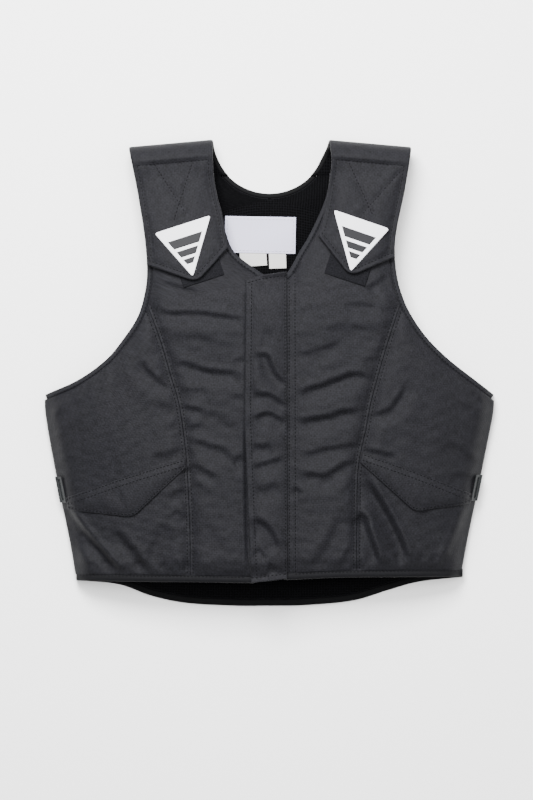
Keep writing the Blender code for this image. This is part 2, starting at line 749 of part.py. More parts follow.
def back_bindings():
    """The back's armhole and neck tapes and its hem band, along the panel's own facets."""
    necks, hems = [], []
    for side in SIGN:
        plan, rows = back_half(side)
        armhole = np.array([plan(1.0, v) for v in rows[BACK_ROWS[0] :]])
        armhole[-1] = mix(armhole[-1], armhole[-2], 0.1)
        neck = np.array([plan(0.0, v) for v in rows[BACK_ROWS[0] + BACK_ROWS[1] :]])
        neck[-1] = mix(neck[-1], neck[-2], 0.3)
        hem = np.array([plan(u, 0.0) for u in BACK_COLUMNS])
        tape = strip(armhole, -BINDING_GAP, -BOUND)
        area = (on_plan(tape, back_bound_faces, side), 2, len(armhole) - 1)
        sheet(f"{side}_back_armhole_binding", BINDING, [area])
        tape = strip(neck, BINDING_GAP, BOUND)
        necks.append((on_plan(tape, back_bound_faces, side), 2, len(neck) - 1))
        band = strip(hem, -BINDING_GAP, -BINDING_GAP - HEM_BAND_WIDTH)
        hems.append((on_plan(band, back_bound_faces, side), 2, len(hem) - 1))
    sheet("back_neck_binding", BINDING, necks)
    sheet("back_hem_band", BINDING, hems)


def pocket_flap(side, under):
    """The pointed flap over the pocket, from the princess seam to the side edge."""
    row = POCKETS[side]
    seam, sides = SEAMS[side], SIDES[side]
    corners = [
        (out_at(line, height(level)) + shift, height(level))
        for line, level, shift in (
            (seam, row.seam_top, 0.002),
            (seam, row.seam_low, 0.002),
            (sides, row.side_low, -0.0075),
            (sides, row.side_top, -0.0075),
        )
    ]
    seam_high, seam_low, side_low, side_high = corners
    tip = (across(row.tip_out), height(row.tip_level))
    plan = patch(
        np.array([seam_low, seam_high]),
        np.array([side_low, side_high]),
        np.array([seam_low, tip, side_low]),
        np.array([seam_high, side_high]),
    )
    faces = resting(under, POCKET_FLAP_THICKNESS)
    sheet(f"{side}_pocket_flap", NYLON, [(on_plan(plan, faces, side), 10, 4)])


def turned(spot, side, width, tall):
    """The plan of a rectangle at a spot; its turn is in degrees, from X to Y on the left side."""
    angle = math.radians(spot.turn)
    middle = np.array([across(spot.out), height(spot.level)])
    right, up = np.array([math.cos(angle), math.sin(angle)]), np.array([-math.sin(angle), math.cos(angle)])
    return lambda u, v: middle + right * width * (u - 0.5) + up * tall * (v - 0.5)


def loop_tape(side, under):
    """The loop tape under the flap of the strap."""
    plan = turned(LOOP_TAPES[side], side, LOOP_TAPE_WIDTH, LOOP_TAPE_LENGTH)
    faces = resting(under, LOOP_TAPE_THICKNESS)
    return sheet(f"{side}_loop_tape", LOOP_PILE, [(on_plan(plan, faces, side), 5, 5)])


def strap_badge(side, under):
    """The three-cornered badge on a strap."""
    spot = BADGES[side]
    middle, reach = np.array([across(spot.out), height(spot.level)]), BADGE_SIDE / math.sqrt(3)
    tip, far, near = (
        middle + reach * np.array([math.cos(a), math.sin(a)])
        for a in (math.radians(turn + spot.turn) for turn in (-90, 30, 150))
    )
    waist = mix(near, far, 0.5)
    lines = [np.array(ends) for ends in ((waist, near), (far, tip), (waist, far), (near, tip))]
    faces = resting(under, BADGE_THICKNESS)
    sheet(f"{side}_strap_badge", RUBBER, [(on_plan(patch(*lines), faces, side), 5, 5)])


def side_adjuster(side, under):
    """A webbing tab at the side seam, under a moulded slide."""
    spot = SLIDES[side]
    tab_width, tall = 0.0055, WEBBING_WIDTH

    def tab(u, v):
        y = height(spot.level) + tall * (v - 0.5)
        return np.array([out_at(SIDES[side], y) - 0.0008 - tab_width * (1 - u), y])

    faces = resting(under, WEBBING_THICKNESS)
    sheet(f"{side}_side_tab", WEBBING, [(on_plan(tab, faces, side), 3, 3)])
    shares = {0: 0.0, 1: SLIDE_BAR / SLIDE_WIDTH, 2: 1 - SLIDE_BAR / SLIDE_WIDTH, 3: 1.0}

    def slide(u, v):
        u, v = shares[round(u * 3)], (0.0, 0.11, 0.89, 1.0)[round(v * 3)]
        y = height(spot.level) + (tall + 0.006) * (v - 0.5)
        return np.array([out_at(SIDES[side], y) + 0.0018 - SLIDE_WIDTH * (1 - u), y])

    faces = resting(under, SLIDE_THICKNESS, 2 * CLEARANCE + WEBBING_THICKNESS)
    sheet(f"{side}_side_slide", PLASTIC, [(on_plan(slide, faces, side), 3, 3)], open_cell=4)


def labels():
    """The bare neck label, and the two small tags that hang from its lower edge."""
    for name, finish, spot, width, tall, gap in (
        ("neck_label", LABEL, LABEL_SPOT, LABEL_WIDTH, LABEL_HEIGHT, 4 * CLEARANCE),
        ("care_tag", TAG, CARE_TAG_SPOT, CARE_TAG_WIDTH, CARE_TAG_HEIGHT, CLEARANCE),
        ("size_tag", TAG, SIZE_TAG_SPOT, SIZE_TAG_WIDTH, SIZE_TAG_HEIGHT, CLEARANCE),
    ):
        plan = turned(spot, "left", width, tall)
        low = BACK_SKIN + gap
        faces = (lambda x, y, low=low: (low, low + LABEL_THICKNESS))
        sheet(name, finish, [(on_plan(plan, faces), 6, 3)])


def main():
    for old in list(bpy.data.objects):
        bpy.data.objects.remove(old)
    back_panel()
    back_bindings()
    back_lining()
    labels()
    centres = []
    for side in SIGN:
        panels = [centre_panel(side), side_panel(side)]
        centres.append(panels[0])
        pocket_flap(side, top_of(*panels, reach=0.006))
        side_adjuster(side, top_of(*panels, reach=0.001))
        tape = loop_tape(side, top_of(*panels, reach=0.005))
        strap = shoulder_strap(side, top_of(*panels, *bindings(side), tape, reach=0.010))
        strap_badge(side, top_of(strap, reach=0.003))
    front_placket(top_of(*centres, reach=0.008))


main()
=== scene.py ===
"""Rodeo vest laid flat on its back: padded panels, tapes, straps, stitching and the stage."""

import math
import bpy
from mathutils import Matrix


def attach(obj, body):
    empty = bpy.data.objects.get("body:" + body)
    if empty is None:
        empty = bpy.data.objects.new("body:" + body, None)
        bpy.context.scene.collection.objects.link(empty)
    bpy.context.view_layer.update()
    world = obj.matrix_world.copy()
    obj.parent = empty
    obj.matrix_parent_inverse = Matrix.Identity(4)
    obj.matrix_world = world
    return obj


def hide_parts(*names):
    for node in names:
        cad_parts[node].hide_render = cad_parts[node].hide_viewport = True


bl_info = {
    "name": "Rodeo Vest",
    "version": (1, 0, 0),
    "blender": (4, 5, 0),
    "location": "View3D > Sidebar > Vest",
    "description": "Makes a padded riding vest, piece by piece, over its packed frame",
    "category": "Object",
}

from collections import namedtuple

import bmesh
import bpy
import numpy as np
from mathutils import Matrix, Vector
from mathutils.bvhtree import BVHTree

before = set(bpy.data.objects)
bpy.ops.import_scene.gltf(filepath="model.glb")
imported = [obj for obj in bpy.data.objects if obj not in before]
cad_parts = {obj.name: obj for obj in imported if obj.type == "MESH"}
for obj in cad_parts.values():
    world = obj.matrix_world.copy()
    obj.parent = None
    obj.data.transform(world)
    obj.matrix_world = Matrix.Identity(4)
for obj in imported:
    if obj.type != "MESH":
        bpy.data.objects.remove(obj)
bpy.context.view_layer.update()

# The vest's driving sizes in metres, as in its solids
CHEST_WIDTH = 0.540
BODY_LENGTH = 0.560
FRONT_PAD = 0.013
BACK_PAD = 0.013
SEAM_PAD = 0.008
EDGE_PAD = 0.006
TAPER = 0.020
HOLLOW = 0.040
SHOULDER_HOLLOW = 0.012
NECK_WIDTH = 0.134
NECK_DEPTH = 0.064
STRAP_THICKNESS = 0.006
STRAP_REAR_RUN = 0.008
LINING_THICKNESS = 0.0012
CLEARANCE = 0.0003
SEAT_GAP = 0.0006
HEM_BAND_WIDTH = 0.009
# Sizes that only the looks have: a fuller binding, how far in the side edges turn down, and how
# high the straps lie on the fronts
BINDING_WIDTH = 0.0067
SIDE_TURN = 0.024
STRAP_SEAT = 0.0024
HALF_CHEST = CHEST_WIDTH / 2
NECK_HALF = NECK_WIDTH / 2
BACK_SKIN = BACK_PAD + CLEARANCE + LINING_THICKNESS
SIGN = {"right": -1.0, "left": 1.0}

Edge = namedtuple("Edge", "level right left")
Hem = namedtuple("Hem", "out right left")
Ends = namedtuple("Ends", "right left")
Flap = namedtuple("Flap", "inner_level tip_out tip_level outer_level")
Pocket = namedtuple("Pocket", "seam_top seam_low tip_out tip_level side_top side_low")
Spot = namedtuple("Spot", "out level turn")
Crease = namedtuple("Crease", "path depth width")


def rows_of(kind, *rows):
    return [kind(*row) for row in rows]


# Places are shares: out of half the chest width, level of the body length above the back hem
SIDE_EDGE = rows_of(
    Edge,
    (0.050, 0.858, 0.846), (0.139, 0.889, 0.880), (0.232, 0.929, 0.920),
    (0.335, 0.971, 0.964), (0.415, 0.998, 0.996), (0.453, 1.000, 1.000),
)
ARMHOLE = rows_of(
    Edge,
    (0.453, 1.000, 1.000), (0.485, 0.849, 0.912), (0.528, 0.724, 0.796),
    (0.571, 0.649, 0.704), (0.614, 0.589, 0.638), (0.657, 0.558, 0.593),
    (0.710, 0.542, 0.563), (0.785, 0.551, 0.556), (0.893, 0.587, 0.600),
    (0.984, 0.626, 0.631),
)
PRINCESS_SEAM = rows_of(
    Edge,
    (0.050, 0.350, 0.383), (0.170, 0.352, 0.386), (0.296, 0.364, 0.392),
    (0.375, 0.381, 0.424), (0.438, 0.402, 0.449), (0.496, 0.438, 0.481),
    (0.571, 0.484, 0.527), (0.650, 0.545, 0.581),
)
NECKLINE = rows_of(
    Edge,
    (0.700, 0.000, 0.000), (0.712, 0.033, 0.074), (0.755, 0.151, 0.128),
    (0.805, 0.197, 0.187), (0.878, 0.236, 0.251), (0.946, 0.249, 0.270),
    (1.000, 0.252, 0.276),
)
STRAP_INNER = rows_of(
    Edge,
    (0.690, 0.163, 0.180), (0.766, 0.184, 0.206), (0.796, 0.193, 0.217),
    (0.839, 0.209, 0.240), (0.871, 0.227, 0.253), (0.918, 0.246, 0.268),
    (0.957, 0.250, 0.274), (1.000, 0.252, 0.264),
)
FOLD_OUTER_LEVEL = 0.984
FRONT_HEM = rows_of(
    Hem,
    (0.860, 0.055, 0.064), (0.350, 0.054, 0.064), (0.080, 0.052, 0.059),
    (0.000, 0.052, 0.062),
)
BACK_HEM = rows_of(
    Hem,
    (0.860, 0.055, 0.062), (0.670, 0.046, 0.052), (0.530, 0.022, 0.034),
    (0.370, 0.006, 0.011), (0.150, 0.000, 0.001), (0.000, 0.000, 0.000),
)
FLAPS = {
    "right": Flap(0.766, 0.320, 0.692, 0.730),
    "left": Flap(0.792, 0.356, 0.705, 0.747),
}
POCKETS = {
    "right": Pocket(0.318, 0.298, 0.604, 0.192, 0.233, 0.207),
    "left": Pocket(0.331, 0.309, 0.642, 0.204, 0.241, 0.221),
}
BADGES = {"right": Spot(0.361, 0.784, 18.0), "left": Spot(0.382, 0.795, -19.0)}
LOOP_TAPES = {"right": Spot(0.316, 0.734, 18.0), "left": Spot(0.358, 0.737, -18.0)}
SLIDE_LEVELS = {"right": 0.250, "left": 0.254}
# The fly's corners: how far out they are at its low and its top end, and their levels there
PLACKET_EDGE = [Ends(0.082, 0.078), Ends(0.105, 0.076)]
PLACKET_LOW = Ends(0.053, 0.062)
PLACKET_TOP = Ends(0.699, 0.716)
LABEL_SPOT = Spot(-0.041, 0.796, -1.0)
CARE_TAG_SPOT = Spot(-0.073, 0.753, 4.0)
SIZE_TAG_SPOT = Spot(0.036, 0.741, 2.0)

CREASE_DEPTH = 0.0030
CREASE_WIDTH = 0.0036
# Creases are steep on the side that faces this way, towards the light
LIGHT_SIDE = (-0.3, 0.95)
# The swells beside a crease are shares of its depth, and it fades out over a share of its length
STEEP_SWELL = 0.35
GENTLE_SWELL = 0.22
FADE_SHARE = 0.22
FADE_LEAST = 0.12
CREASE_REACH = 9


def creases_of(*rows):
    """Creases of the cloth, each from its depth, its width and the places that it passes through.

    Depth and width are shares of CREASE_DEPTH and CREASE_WIDTH. A place is a signed share of half the
    chest width from the centre line and a level, both in thousandths.
    """
    return [
        Crease([(out / 1000, level / 1000) for out, level in places], depth, width)
        for depth, width, *places in rows
    ]


FRONT_CREASES = creases_of(
    (0.8, 0.7, (-96, 701), (-98, 549), (-100, 399)),
    (1.5, 0.8, (-100, 420), (-100, 313), (-98, 184), (-89, 64)),
    (0.8, 1, (-220, 67), (-100, 68)),
    (0.8, 0.9, (-482, 692), (-420, 681), (-376, 675), (-309, 672)),
    (1.1, 0.9, (-509, 641), (-473, 628), (-433, 622), (-353, 624), (-287, 621), (-220, 616),
     (-104, 611)),
    (0.45, 2, (-460, 564), (-353, 566), (-242, 564)),
    (1.15, 1.1, (-420, 504), (-384, 514), (-344, 510), (-287, 499), (-211, 496), (-104, 493)),
    (0.7, 0.8, (-162, 520), (-104, 527)),
    (0.55, 1, (-393, 455), (-331, 459), (-264, 461)),
    (0.8, 0.9, (-380, 422), (-331, 419), (-291, 416)),
    (0.6, 2, (-309, 416), (-256, 403), (-211, 386), (-167, 371)),
    (0.5, 0.9, (-158, 444), (-104, 448)),
    (0.7, 0.9, (-367, 382), (-287, 384)),
    (0.9, 1.2, (-349, 341), (-309, 345), (-264, 337), (-220, 332), (-162, 311)),
    (1, 1.4, (-158, 300), (-131, 311), (-104, 321)),
    (0.8, 1, (-393, 285), (-353, 291), (-327, 296), (-287, 287), (-229, 268)),
    (0.55, 1.2, (-340, 264), (-296, 249), (-256, 236)),
    (0.45, 1.8, (-309, 184), (-251, 146), (-193, 120)),
    (1.2, 1, (-571, 527), (-549, 504), (-518, 489), (-478, 474), (-433, 459)),
    (0.5, 0.8, (-536, 551), (-491, 534)),
    (0.7, 1.5, (-509, 431), (-464, 424), (-416, 414)),
    (0.45, 1.2, (-464, 379), (-407, 384)),
    (0.9, 1.5, (-522, 315), (-464, 316), (-424, 324), (-389, 330)),
    (0.8, 1.1, (-451, 229), (-407, 240), (-367, 243)),
    (0.8, 1, (-420, 208), (-393, 193), (-362, 184)),
    (1.1, 2, (-447, 180), (-487, 141), (-513, 109), (-531, 79)),
    (1.5, 1.3, (-696, 167), (-647, 137), (-593, 107), (-562, 86), (-531, 66)),
    (3, 1.2, (-913, 221), (-878, 189), (-824, 156), (-762, 122), (-709, 94), (-656, 64)),
    (0.5, 1.4, (-878, 124), (-842, 99), (-798, 75)),
    (0.7, 1, (-860, 450), (-900, 424), (-944, 396)),
    (0.35, 1, (-789, 478), (-842, 441), (-878, 416)),
    (0.35, 0.9, (-691, 510), (-696, 478), (-709, 450)),
    (0.4, 1.8, (-833, 399), (-878, 371), (-922, 343)),
    (0.5, 0.8, (-411, 99), (-393, 75)),
    (0.6, 0.8, (-362, 99), (-380, 75)),
    (0.4, 1.2, (-931, 300), (-878, 309)),
    (0.6, 1.2, (-776, 73), (-620, 73)),
    (0.35, 1.2, (91, 630), (158, 627), (269, 628)),
    (0.75, 1, (327, 636), (380, 643), (424, 639), (487, 636)),
    (0.6, 2.4, (247, 589), (336, 583), (411, 585), (469, 580), (504, 574)),
    (0.8, 1, (122, 532), (189, 540), (233, 546), (278, 553), (322, 561)),
    (0.4, 1, (171, 511), (224, 523)),
    (0.6, 0.9, (420, 525), (473, 525)),
    (1.6, 1.15, (113, 444), (180, 459), (247, 469), (313, 482), (358, 490), (402, 491), (451, 482)),
    (1.5, 1.2, (113, 391), (202, 396), (269, 402), (327, 411), (367, 412), (420, 416)),
    (1.2, 1, (438, 400), (491, 409), (536, 418), (562, 431), (589, 452), (616, 478)),
    (1, 1, (429, 673), (473, 687), (527, 703)),
    (0.4, 1.2, (464, 675), (491, 645), (536, 613)),
    (0.35, 1, (584, 570), (571, 536)),
    (0.8, 0.9, (118, 320), (180, 324), (233, 330), (291, 336), (336, 340), (420, 343)),
    (1.15, 1.1, (118, 283), (189, 276), (247, 276), (282, 283), (313, 294), (349, 303), (393, 302)),
    (0.4, 1.5, (216, 253), (278, 272)),
    (0.8, 0.8, (109, 253), (136, 240)),
    (0.35, 1, (318, 242), (362, 255)),
    (1, 1.8, (340, 204), (304, 169), (278, 141), (247, 116), (184, 79)),
    (0.6, 0.9, (367, 131), (340, 109), (318, 86)),
    (1, 1, (411, 328), (469, 327), (513, 322), (562, 317)),
    (2.9, 1.4, (416, 279), (451, 244), (491, 212), (540, 169), (580, 126), (607, 88)),
    (1, 0.9, (389, 197), (424, 189), (451, 180)),
    (2.6, 1.15, (398, 201), (420, 171), (447, 135), (478, 88)),
    (0.5, 1.3, (824, 437), (882, 414)),
    (0.6, 0.9, (896, 461), (931, 431)),
    (0.8, 1.3, (771, 349), (833, 334), (873, 317), (918, 304)),
    (0.7, 1, (802, 274), (856, 277), (918, 268)),
    (0.6, 1.9, (638, 206), (704, 184), (727, 152), (736, 120), (744, 92)),
    (1.2, 1.5, (909, 216), (869, 180), (842, 148), (816, 118), (798, 88)),
    (0.6, 1.1, (536, 71), (669, 79), (811, 81)),
    (0.7, 0.8, (562, 116), (576, 86)),
    (0.6, 0.8, (616, 116), (624, 86)),
    (0.8, 0.8, (669, 116), (660, 86)),
    (0.6, 0.8, (727, 116), (718, 86)),
    (0.7, 0.8, (780, 116), (767, 86)),
    (0.5, 0.8, (-789, 99), (-776, 73)),
    (0.5, 0.8, (-736, 99), (-727, 73)),
    (0.6, 0.8, (-589, 99), (-580, 73)),
    (0.6, 0.8, (-473, 99), (-478, 73)),
)
STRAP_CREASES = creases_of(
    (2.2, 2.6, (-562, 944), (-464, 936), (-398, 942), (-300, 948)),
    (0.4, 1.4, (-531, 896), (-513, 836)),
    (0.5, 0.9, (-287, 786), (-220, 763)),
    (2.2, 2.4, (280, 944), (358, 940), (424, 946), (560, 940)),
    (0.5, 0.9, (256, 786), (313, 801)),
    (0.6, 1.2, (482, 737), (536, 763)),
)
FLY_CREASES = creases_of(
    (0.56, 2, (-33, 579), (11, 574)),
    (1.82, 1.1, (-69, 529), (-24, 531), (-7, 516), (11, 499), (33, 484), (73, 469)),
    (1.54, 1.1, (-78, 459), (-42, 448), (-7, 448), (24, 439), (73, 422)),
    (1.68, 1.1, (-69, 396), (-20, 407), (11, 405), (47, 394), (78, 390)),
    (1.12, 1.1, (-78, 341), (-33, 337), (11, 343)),
    (1.26, 1.1, (-73, 292), (-33, 300), (11, 306), (69, 313)),
    (0.84, 1.5, (-69, 253), (-33, 244), (2, 249), (47, 259)),
    (1.96, 1.5, (-82, 176), (-51, 176), (-24, 167), (-2, 154), (16, 135), (42, 120)),
    (0.84, 1, (-69, 124), (-38, 114), (-16, 101)),
    (0.7, 1, (-11, 88), (33, 77)),
)
FLAP_CREASES = creases_of(
    (0.5, 0.8, (-678, 251), (-638, 221)),
    (0.5, 0.9, (-833, 236), (-811, 208)),
    (0.3, 0.9, (-753, 227), (-722, 204)),
    (0.8, 0.9, (611, 259), (647, 234), (678, 208)),
)


def size_property(name, description, default, least):
    return bpy.props.FloatProperty(
        name=name, description=description, default=default, min=least, unit="LENGTH"
    )


class VestSizes(bpy.types.PropertyGroup):
    """Sizes of the cloth's details"""

    thread_spacing: size_property(
        "Thread Spacing", "Distance between the drawn threads of the nylon", 0.0024, 0.0008
    )
    stitch_length: size_property("Stitch Length", "Length of one stitch", 0.0030, 0.001)
    cell: size_property("Cell", "Size of the panels' facets", 0.0026, 0.001)
    crumple: size_property("Crumple", "Depth of the small wrinkles", 0.0005, 0.0)


def colour_property(name, description, value):
    return bpy.props.FloatVectorProperty(
        name=name, description=description, default=value, size=3, min=0, max=1, subtype="COLOR"
    )


def linear(code):
    """An sRGB hex value as linear red, green and blue."""
    shares = [int(code[i : i + 2], 16) / 255 for i in (1, 3, 5)]
    return tuple(c / 12.92 if c <= 0.04045 else ((c + 0.055) / 1.055) ** 2.4 for c in shares)


class VestColours(bpy.types.PropertyGroup):
    """Colours of the vest's cloths"""

    nylon: colour_property("Nylon", "The outer cloth", linear("#101013"))
    tape: colour_property("Tape", "The bindings and hem bands", linear("#17171a"))
    mesh: colour_property("Mesh", "The lining", linear("#050506"))
    pile: colour_property("Pile", "The loop tape", linear("#111113"))
    rubber: colour_property("Rubber", "The badges", linear("#d8d8dc"))
    bars: colour_property("Bars", "The badges' bars", linear("#141417"))
    label: colour_property("Label", "The neck label", linear("#b3b2c6"))
    tag: colour_property("Tag", "The two tags", linear("#b5b4b2"))
    plastic: colour_property("Plastic", "The slides", linear("#1f2122"))
    thread: colour_property("Thread", "The stitching", linear("#0c0c0e"))


# Lines in plan: arrays of (distance from the centre line, Y)


def across(out):
    return out * HALF_CHEST


def height(level):
    return (level - 0.5) * BODY_LENGTH


def mix(a, b, share):
    return a + (b - a) * share


def ease(share):
    t = np.clip(share, 0.0, 1.0)
    return t * t * (3 - 2 * t)


def smooth_line(points, steps=8):
    """A curve that passes through the points (Catmull-Rom)."""
    p = np.array(points, float)
    p = np.vstack([2 * p[0] - p[1], p, 2 * p[-1] - p[-2]])
    t = np.linspace(0, 1, steps, endpoint=False)[:, None]
    spans = []
    for a, b, c, d in zip(p, p[1:], p[2:], p[3:]):
        cubic = (-a + 3 * b - 3 * c + d) * t**3 + (2 * a - 5 * b + 4 * c - d) * t**2
        spans.append((cubic + (c - a) * t + 2 * b) / 2)
    return np.vstack(spans + [p[-2:-1]])


def edge_line(rows, side):
    return smooth_line([(across(getattr(r, side)), height(r.level)) for r in rows])


def hem_line(rows, side):
    return smooth_line([(across(r.out), height(getattr(r, side))) for r in rows])[::-1]


def shifted(line, distance, run_on=0.02):
    """The line moved to its left by a distance, and run on a little at both ends."""
    line = np.asarray(line, float)
    first, last = line[0] - line[1], line[-1] - line[-2]
    first, last = first / np.linalg.norm(first), last / np.linalg.norm(last)
    line = np.vstack([line[0] + run_on * first, line, line[-1] + run_on * last])
    along = np.gradient(line, axis=0)
    along /= np.linalg.norm(along, axis=1)[:, None]
    return line + distance * np.column_stack([-along[:, 1], along[:, 0]])


def beside(line, distance):
    """The line moved to its left by a distance."""
    return shifted(line, distance, 1e-5)[1:-1]


def out_at(line, y):
    return np.interp(y, line[:, 1], line[:, 0])


def y_at(line, out):
    return np.interp(out, line[:, 0], line[:, 1])


def rising(line, low, high):
    """The part of a line that runs upwards between two heights."""
    inside = line[(line[:, 1] > low) & (line[:, 1] < high)]
    return np.vstack([(out_at(line, low), low), inside, (out_at(line, high), high)])


def spreading(line, near, far):
    """The part of a line that runs outwards between two distances out."""
    inside = line[(line[:, 0] > near) & (line[:, 0] < far)]
    return np.vstack([(near, y_at(line, near)), inside, (far, y_at(line, far))])


def meeting(inner, outer, low, high):
    """The height at which an inner line that runs upwards reaches an outer one."""
    for _ in range(40):
        middle = (low + high) / 2
        if out_at(inner, middle) < out_at(outer, middle):
            low = middle
        else:
            high = middle
    return low


def moved(line, out=0.0, y=0.0):
    return line + np.array([out, y])


def steps_of(line):
    return np.concatenate([[0], np.cumsum(np.linalg.norm(np.diff(line, axis=0), axis=1))])


def length(line):
    return float(steps_of(np.asarray(line, float))[-1])


def points_at(line, shares):
    """Points at shares of a line's length."""
    line = np.asarray(line, float)
    run = steps_of(line)
    return np.column_stack([np.interp(shares * run[-1], run, axis) for axis in line.T])


def patch(edges, us, vs):
    """A grid of points over the area between four lines: first, last, low and high (Coons)."""
    first, last, low, high = (np.asarray(e, float) for e in edges)
    u, v = us[None, :, None], vs[:, None, None]
    sides = mix(points_at(first, vs)[:, None, :], points_at(last, vs)[:, None, :], u)
    ends = mix(points_at(low, us)[None, :, :], points_at(high, us)[None, :, :], v)
    corners = mix(mix(first[0], last[0], u), mix(first[-1], last[-1], u), v)
    return sides + ends - corners


def stops(span, cell, rims=(True, True)):
    """Shares of a span, a cell apart, with a few more near a rim that is rounded."""
    rim = np.array([0.0, 0.0003, 0.0009, 0.0018, 0.0030])
    low = rim if rims[0] else np.array([0.0])
    high = rim if rims[1] else np.array([0.0])
    room = span - low[-1] - high[-1]
    between = np.linspace(low[-1], span - high[-1], max(int(room / cell), 2) + 1)
    return np.concatenate([low[:-1], between, span - high[:-1][::-1]]) / span


def distance(points, line):
    """How far points are from a line of points."""
    flat = points.reshape(-1, 2)
    best = np.full(len(flat), 1e9)
    for a, b in zip(line[:-1], line[1:]):
        run = b - a
        size = run @ run
        if size < 1e-14:
            continue
        t = np.clip((flat - a) @ run / size, 0, 1)
        best = np.minimum(best, np.hypot(*(flat - a - t[:, None] * run).T))
    return best.reshape(points.shape[:-1])


def nearest(points, lines):
    """How far points are from the nearest of some lines."""
    return np.min([distance(points, line) for line in lines], axis=0)


SIDES = {s: edge_line(SIDE_EDGE, s) for s in SIGN}
ARMHOLES = {s: edge_line(ARMHOLE, s) for s in SIGN}
SEAMS = {s: edge_line(PRINCESS_SEAM, s) for s in SIGN}
NECKLINES = {s: edge_line(NECKLINE, s) for s in SIGN}
STRAP_INNERS = {s: edge_line(STRAP_INNER, s) for s in SIGN}
FRONT_HEMS = {s: hem_line(FRONT_HEM, s) for s in SIGN}
BACK_HEMS = {s: hem_line(BACK_HEM, s) for s in SIGN}
BACK_NECK = np.array(
    [
        (NECK_HALF * math.sin(a), height(1.0) - NECK_DEPTH * math.cos(a))
        for a in np.linspace(0, math.pi / 2, 33)
    ]
)

# The panels run a little into their bindings, which close round them
TUCK = 0.0012
PANEL_ARMHOLES = {s: shifted(ARMHOLES[s], BINDING_WIDTH - TUCK) for s in SIGN}
PANEL_NECKLINES = {s: shifted(NECKLINES[s], TUCK - BINDING_WIDTH) for s in SIGN}
PANEL_BACK_NECK = shifted(BACK_NECK, TUCK - BINDING_WIDTH)
PANEL_HEMS = {s: shifted(FRONT_HEMS[s], HEM_BAND_WIDTH - TUCK) for s in SIGN}
PANEL_BACK_HEMS = {s: shifted(BACK_HEMS[s], HEM_BAND_WIDTH - TUCK) for s in SIGN}
SHOULDER_TOP = BACK_SKIN + SHOULDER_HOLLOW + FRONT_PAD + STRAP_SEAT + STRAP_THICKNESS
FOLD_RADIUS = SHOULDER_TOP / 2
SHOULDER_END = height(FOLD_OUTER_LEVEL) - FOLD_RADIUS - STRAP_REAR_RUN

# How the front rises from the side edge (0) to the middle (1)
RISE = smooth_line(
    [(s, (1 - s**2.6) ** (1 / 1.9)) for s in (0.0, 0.2, 0.4, 0.55, 0.7, 0.81, 0.9, 0.95)]
    + [(1.0, 0.0)]
)


def side_out(x, y):
    return np.where(x > 0, out_at(SIDES["left"], y), out_at(SIDES["right"], y))


def open_body(y):
    """1 where the body is at its full depth, falling to 0 at the shoulders."""
    return 1 - ease((y - height(0.60)) / (height(0.94) - height(0.60)))


def front_inner(x, y):
    """The front's inner face: it rises from the side edges to the middle."""
    low = EDGE_PAD + SEAT_GAP
    share = np.minimum(np.abs(x) / side_out(x, y), 1.0)
    rise = np.clip(np.interp(share, RISE[:, 0], RISE[:, 1]), 0, 1)
    body = mix(low, BACK_SKIN + HOLLOW, rise)
    return mix(BACK_SKIN + SHOULDER_HOLLOW, body, open_body(y))


def front_rims(side):
    """The bound edges of one front, in plan."""
    armhole = PANEL_ARMHOLES[side]
    neck = PANEL_NECKLINES[side]
    return armhole, neck[neck[:, 1] > height(0.69)], PANEL_HEMS[side]


def puff(share):
    """A stuffed edge: steep at the rim and level inside."""
    t = np.clip(share, 0.0, 1.0)
    return mix(t * t * (3 - 2 * t), np.sqrt(1 - (1 - t) ** 2), 0.45)


def front_pad(x, y):
    """The front's thickness: pinched at its edges and at the princess seams."""
    points = np.stack([np.abs(x), y], axis=-1)
    thick = np.zeros_like(x)
    for side in SIGN:
        here = (x > 0) == (side == "left")
        near = nearest(points, front_rims(side))
        turn = ease(np.abs(side_out(x, y) - np.abs(x)) / SIDE_TURN)
        seam = distance(points, SEAMS[side])
        full = mix(SEAM_PAD, FRONT_PAD, puff(seam / TAPER))
        thick = np.where(here, mix(EDGE_PAD, full, puff(near / TAPER) * turn), thick)
    return thick


def front_top(x, y):
    return front_inner(x, y) + front_pad(x, y)


def flow(x, y, size, seed, stretch=1.0):
    """A smooth unevenness between about -1 and 1, from waves of a size in fixed directions."""
    chance = np.random.default_rng(seed)
    total = np.zeros_like(x)
    for _ in range(9):
        angle = chance.uniform(0, math.pi)
        k = 2 * math.pi / (size * chance.uniform(0.7, 1.6))
        wave = math.cos(angle) * x * k + math.sin(angle) * y * k * stretch
        total += np.sin(wave + chance.uniform(0, 2 * math.pi))
    return total / 4.5


def bell(s, place, width):
    return np.exp(-(((s - place) / width) ** 2))


def near_path(x, y, path, hand):
    """How far points are from a path, on which side of it, and how far along it."""
    best, off, place = (np.full(x.shape, v) for v in (1e9, 0.0, 0.0))
    for a, b, start in zip(path[:-1], path[1:], steps_of(path)):
        ab = b - a
        size = np.hypot(*ab)
        across_it = hand * np.array([-ab[1], ab[0]]) / size
        t = np.clip(((x - a[0]) * ab[0] + (y - a[1]) * ab[1]) / size**2, 0, 1)
        dx, dy = x - a[0] - t * ab[0], y - a[1] - t * ab[1]
        far = np.hypot(dx, dy)
        nearer = far < best
        best = np.where(nearer, far, best)
        off = np.where(nearer, far * np.sign(dx * across_it[0] + dy * across_it[1]), off)
        place = np.where(nearer, start + t * size, place)
    return best, off, place


